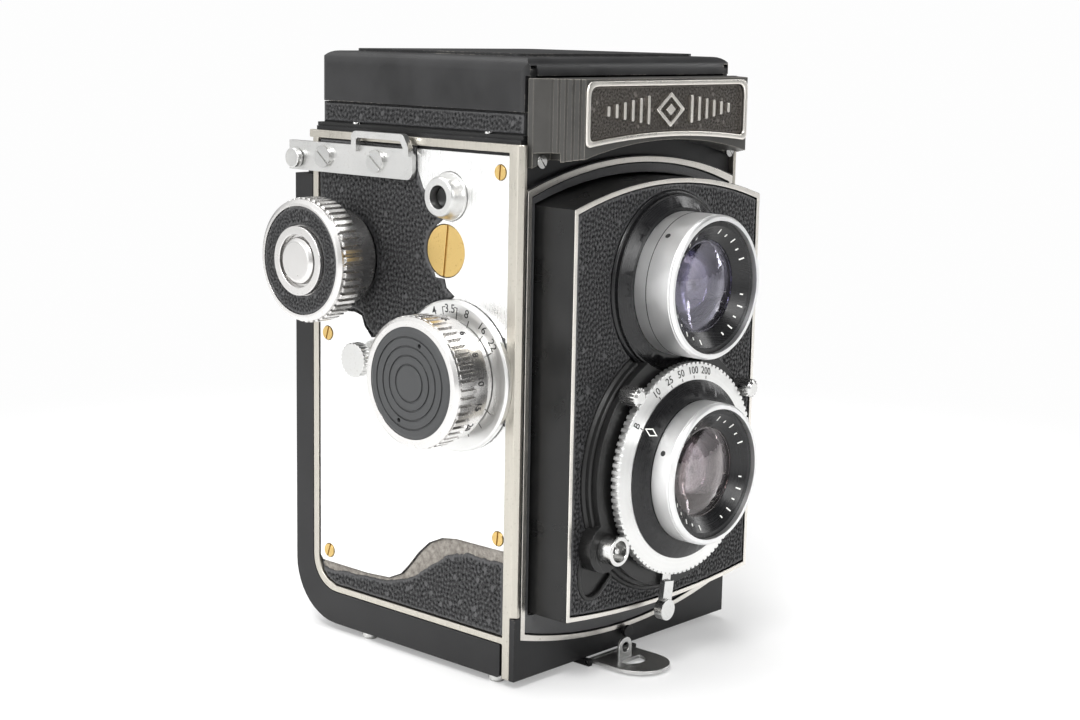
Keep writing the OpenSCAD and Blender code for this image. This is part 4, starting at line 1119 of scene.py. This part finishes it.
# distance scale around the band of the focus knob
for i, text in enumerate(DISTANCES):
    numeral("distance_num_%d" % i, text, 2.3,
            on_focus(150 - i * 24, 13.74, x=-44.4, up=(1, 0, 0)), "focus_knob",
            depth=0.12, bold=0.005)

# ------------------------------------------------------------------ marks about the lenses
# Angles are in degrees from +X, turning upwards.
# slopes of the marked surfaces: share outwards from the axis, share along +Y
SPEED_SLOPE = (0.974, 0.227)
CONE_SLOPE = (0.911, 0.411)
FRONT_RING_SLOPE = (0.806, -0.59)
BARREL_SLOPE = (0, 1)
SPEEDS = [("B", 146), ("10", 122.5), ("25", 110), ("50", 99.3), ("100", 88.0), ("200", 76.0)]
SPEED_RADIUS = 22.35
INDEX_RADIUS = 18.6
# lens: height, angle and y of its index dot
DOTS = {"taking": (TAKING_Z, 156, -59.0), "viewing": (VIEWING_Z, 133, -55.6)}


def on_lens(angle, radius, y, centre_z, slope):
    c, s = math.cos(math.radians(angle)), math.sin(math.radians(angle))
    outwards, along = slope
    return ((radius * c, y, centre_z + radius * s), (s, 0, -c),
            (c * outwards, along, s * outwards))


speed_y = BOARD_Y - 6.5 - 0.65 * (23.7 - SPEED_RADIUS) / 2.8
for i, (text, angle) in enumerate(SPEEDS):
    numeral("speed_num_%d" % i, text, 2.35,
            on_lens(angle, SPEED_RADIUS, speed_y, TAKING_Z, SPEED_SLOPE), "speed_ring",
            depth=0.03, bold=0.004)
for i, (_, angle) in enumerate(SPEEDS):
    decal("speed_tick_%d" % i, rect(-0.09, -0.3, 0.09, 0.35),
          on_lens(angle, 20.95, BOARD_Y - 7.13, TAKING_Z, SPEED_SLOPE), 0.05,
          "speed_ring", "ink")
# lozenge index on the black cone
index_y = BOARD_Y - 7.25 - 1.85 * (20.4 - INDEX_RADIUS) / 4.1
decal("speed_index", diamond(0.95, 1.75),
      on_lens(144.5, INDEX_RADIUS, index_y, TAKING_Z, CONE_SLOPE), 0.05,
      "lens_board", "white", hole=diamond(0.68, 1.3))
for lens, (centre_z, angle, y) in DOTS.items():
    decal("dot_" + lens, circle(0, 0, 0.62, 20),
          on_lens(angle, 15.97, y, centre_z, BARREL_SLOPE), 0.06, "lens_board", "ink")
# seam of the two barrel parts of the viewing lens
turned("viewing_seam", [(15.6, -53.9), (16.03, -53.9), (16.05, -54.0), (16.03, -54.1),
                        (15.6, -54.1)], VIEWING_Z, "lens_board", "ink")

# ------------------------------------------------------------------ inside the lenses
# profiles: radius, y behind the front element
BAFFLE = [(11.45, 2.05), (9.6, 2.05), (9.4, 2.6), (8.9, 2.7), (8.7, 3.5), (8.2, 3.6),
          (8.0, 5.2), (9.2, 5.2), (9.3, 4.0), (11.45, 3.9)]
STOP = [(9.3, 5.3), (9.3, 7.0), (5.2, 7.0), (5.0, 6.6), (8.3, 6.5), (8.35, 5.3)]
INNER_GLASS = [(max(0.02, 8.1 * math.sin(math.radians(t))), 5.9 - 3.1 * math.cos(math.radians(t)))
               for t in range(0, 91, 9)] + [(8.1, 6.3), (0.02, 6.1)]
RING_MARKS = 28     # mark positions around the front ring
# lens: height, y of the front element, finish
LENSES = {"taking": (TAKING_Z, -58.35, "taking_black"),
          "viewing": (VIEWING_Z, -56.85, "viewing_black")}

for lens, (centre_z, element_y, finish) in LENSES.items():
    turned(lens + "_baffle", shifted(BAFFLE, element_y), centre_z, "lens_board", finish)
    turned(lens + "_inner_glass", shifted(INNER_GLASS, element_y), centre_z, "lens_board",
           "inner_glass")
    turned(lens + "_stop", shifted(STOP, element_y), centre_z, "lens_board", finish)
    for i in range(RING_MARKS):
        # gaps split the marks into four groups
        if i % 7 in (0, 6):
            continue
        top = 0.62 if i % 2 else 0.1
        decal("%s_mark_%d" % (lens, i), rect(-0.15, -0.62, 0.15, top),
              on_lens(90 - i * 360 / RING_MARKS, 12.35, element_y - 2.34, centre_z,
                      FRONT_RING_SLOPE), 0.03, "lens_board", "white")

# ------------------------------------------------------------------ advance knob inlay
KNOB_W = -box_mm("advance_knob_leather")[0][0]
inlay = sheet("advance_inlay", circle(ADVANCE_Y, ADVANCE_Z, 12.25, 90),
              [circle(ADVANCE_Y, ADVANCE_Z, 8.05, 70)], "left", KNOB_W - 0.55, KNOB_W + 0.02,
              "advance_knob", "leather", step=0.24, depth=0.2, cell=0.62, seed=81, roll=0.4)
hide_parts("advance_knob_leather")

# ------------------------------------------------------------------ stage
FLOOR_HALF = 6.0
BACKDROP_WHITE = (0.985, 0.985, 0.985)
scene = bpy.context.scene


def paper(name):
    """White paper that fades to the plain backdrop away from the camera body."""
    m = Material(name)
    patches = m.noise(scale=0.02)
    shader = m.principled(
        Base_Color=m.mix(m.vary(patches), (0.86, 0.86, 0.86), (0.89, 0.89, 0.885)),
        Roughness=0.42, Normal=m.bump(m.noise(scale=1.5), depth=0.01, strength=0.3),
        Specular_IOR_Level=0.4)
    parts = m.node("SeparateXYZ", {0: m.coords}).outputs
    x, y = m.add(parts[0], -20.0), parts[1]     # the fade is centred on x = 20 mm
    distance = m.math("SQRT", m.add(m.times(x, x), m.times(y, y)))
    fade = m.remap(distance, start=95.0, end=330.0, low=0.30, high=1.0,
                   interpolation_type="SMOOTHSTEP")
    seen = m.times(fade, m.node("LightPath").outputs["Is Camera Ray"])
    glow = m.node("Emission", {"Color": BACKDROP_WHITE, "Strength": 1.0})
    m.surface(m.blend(seen, shader, glow.outputs[0]))
    return m.material


mesh = bpy.data.meshes.new("floor")
mesh.from_pydata([(u, v, 0) for u, v in rect(-FLOOR_HALF, -FLOOR_HALF, FLOOR_HALF, FLOOR_HALF)],
                 [], [(0, 1, 2, 3)])
floor = bpy.data.objects.new("floor", mesh)
scene.collection.objects.link(floor)
mesh.materials.append(paper("floor_paper"))


def white_tent():
    """Light from a white tent, brightest high up and to the rear left; plain white if seen."""
    world = bpy.data.worlds.new("studio")
    scene.world = world
    g = Graph(world, "OutputWorld")
    direction = g.node("TexCoord").outputs["Generated"]
    height = g.node("SeparateXYZ", {0: direction}).outputs["Z"]
    upper = g.remap(height, start=-0.05, end=0.55, low=0.50, high=0.92)
    brightest = Vector((-0.86, 0.42, 0.20)).normalized()
    facing = g.node("VectorMath", {0: direction, 1: brightest},
                    operation="DOT_PRODUCT").outputs["Value"]
    sided = g.remap(facing, start=-0.25, end=0.75, low=0.16, high=1.45)
    light = g.node("Background", {"Color": (1, 1, 1), "Strength": g.times(upper, by=sided)})
    backdrop = g.node("Background", {"Color": BACKDROP_WHITE, "Strength": 1.0})
    seen = g.node("LightPath").outputs["Is Camera Ray"]
    g.surface(g.blend(seen, light.outputs[0], backdrop.outputs[0]))


def area_light(name, at, aim, size, power):
    light = bpy.data.lights.new(name, "AREA")
    light.shape = "RECTANGLE"
    light.size, light.size_y = size
    light.energy = power
    obj = bpy.data.objects.new(name, light)
    scene.collection.objects.link(obj)
    obj.location = at
    obj.rotation_euler = (Vector(aim) - Vector(at)).to_track_quat("-Z", "Y").to_euler()


white_tent()
area_light("key", at=(-0.70, -0.40, 0.95), aim=(0, 0, 0.07), size=(0.36, 0.28), power=8.5)
area_light("left", at=(-1.1, 0.35, 0.40), aim=(0, 0, 0.07), size=(0.8, 0.7), power=3.5)
area_light("front", at=(-0.15, -1.2, 0.55), aim=(0, -0.03, 0.06), size=(0.22, 0.7), power=5.0)
area_light("rim", at=(0.9, -0.35, 0.45), aim=(0, -0.03, 0.07), size=(0.12, 0.7), power=2.2)
area_light("top", at=(0.1, 0.3, 1.2), aim=(0, 0, 0.1), size=(0.8, 0.8), power=9.0)

# ------------------------------------------------------------------ viewpoint
VIEW_FROM = (-0.32987, -0.30805, 0.14516)
VIEW_FORWARD = Vector((0.72963, 0.66101, -0.17522)).normalized()
VIEW_LEVEL = Vector((0.67139, -0.74111, 0.0)).normalized()      # to the right, before the roll
VIEW_ROLL = math.radians(1.081)

view = bpy.data.cameras.new("photo_view")
view.sensor_fit = "HORIZONTAL"
view.sensor_width = 36.0
view.lens = 63.07
view.clip_start = 0.02
viewpoint = bpy.data.objects.new("photo_view", view)
scene.collection.objects.link(viewpoint)
level_up = VIEW_LEVEL.cross(VIEW_FORWARD)
right = VIEW_LEVEL * math.cos(VIEW_ROLL) + level_up * math.sin(VIEW_ROLL)
up = level_up * math.cos(VIEW_ROLL) - VIEW_LEVEL * math.sin(VIEW_ROLL)
rows = [(right[i], up[i], -VIEW_FORWARD[i], VIEW_FROM[i]) for i in range(3)]
viewpoint.matrix_world = Matrix((*rows, (0, 0, 0, 1)))
scene.camera = viewpoint
scene.view_settings.view_transform = "Standard"
scene.view_settings.exposure = 0.0
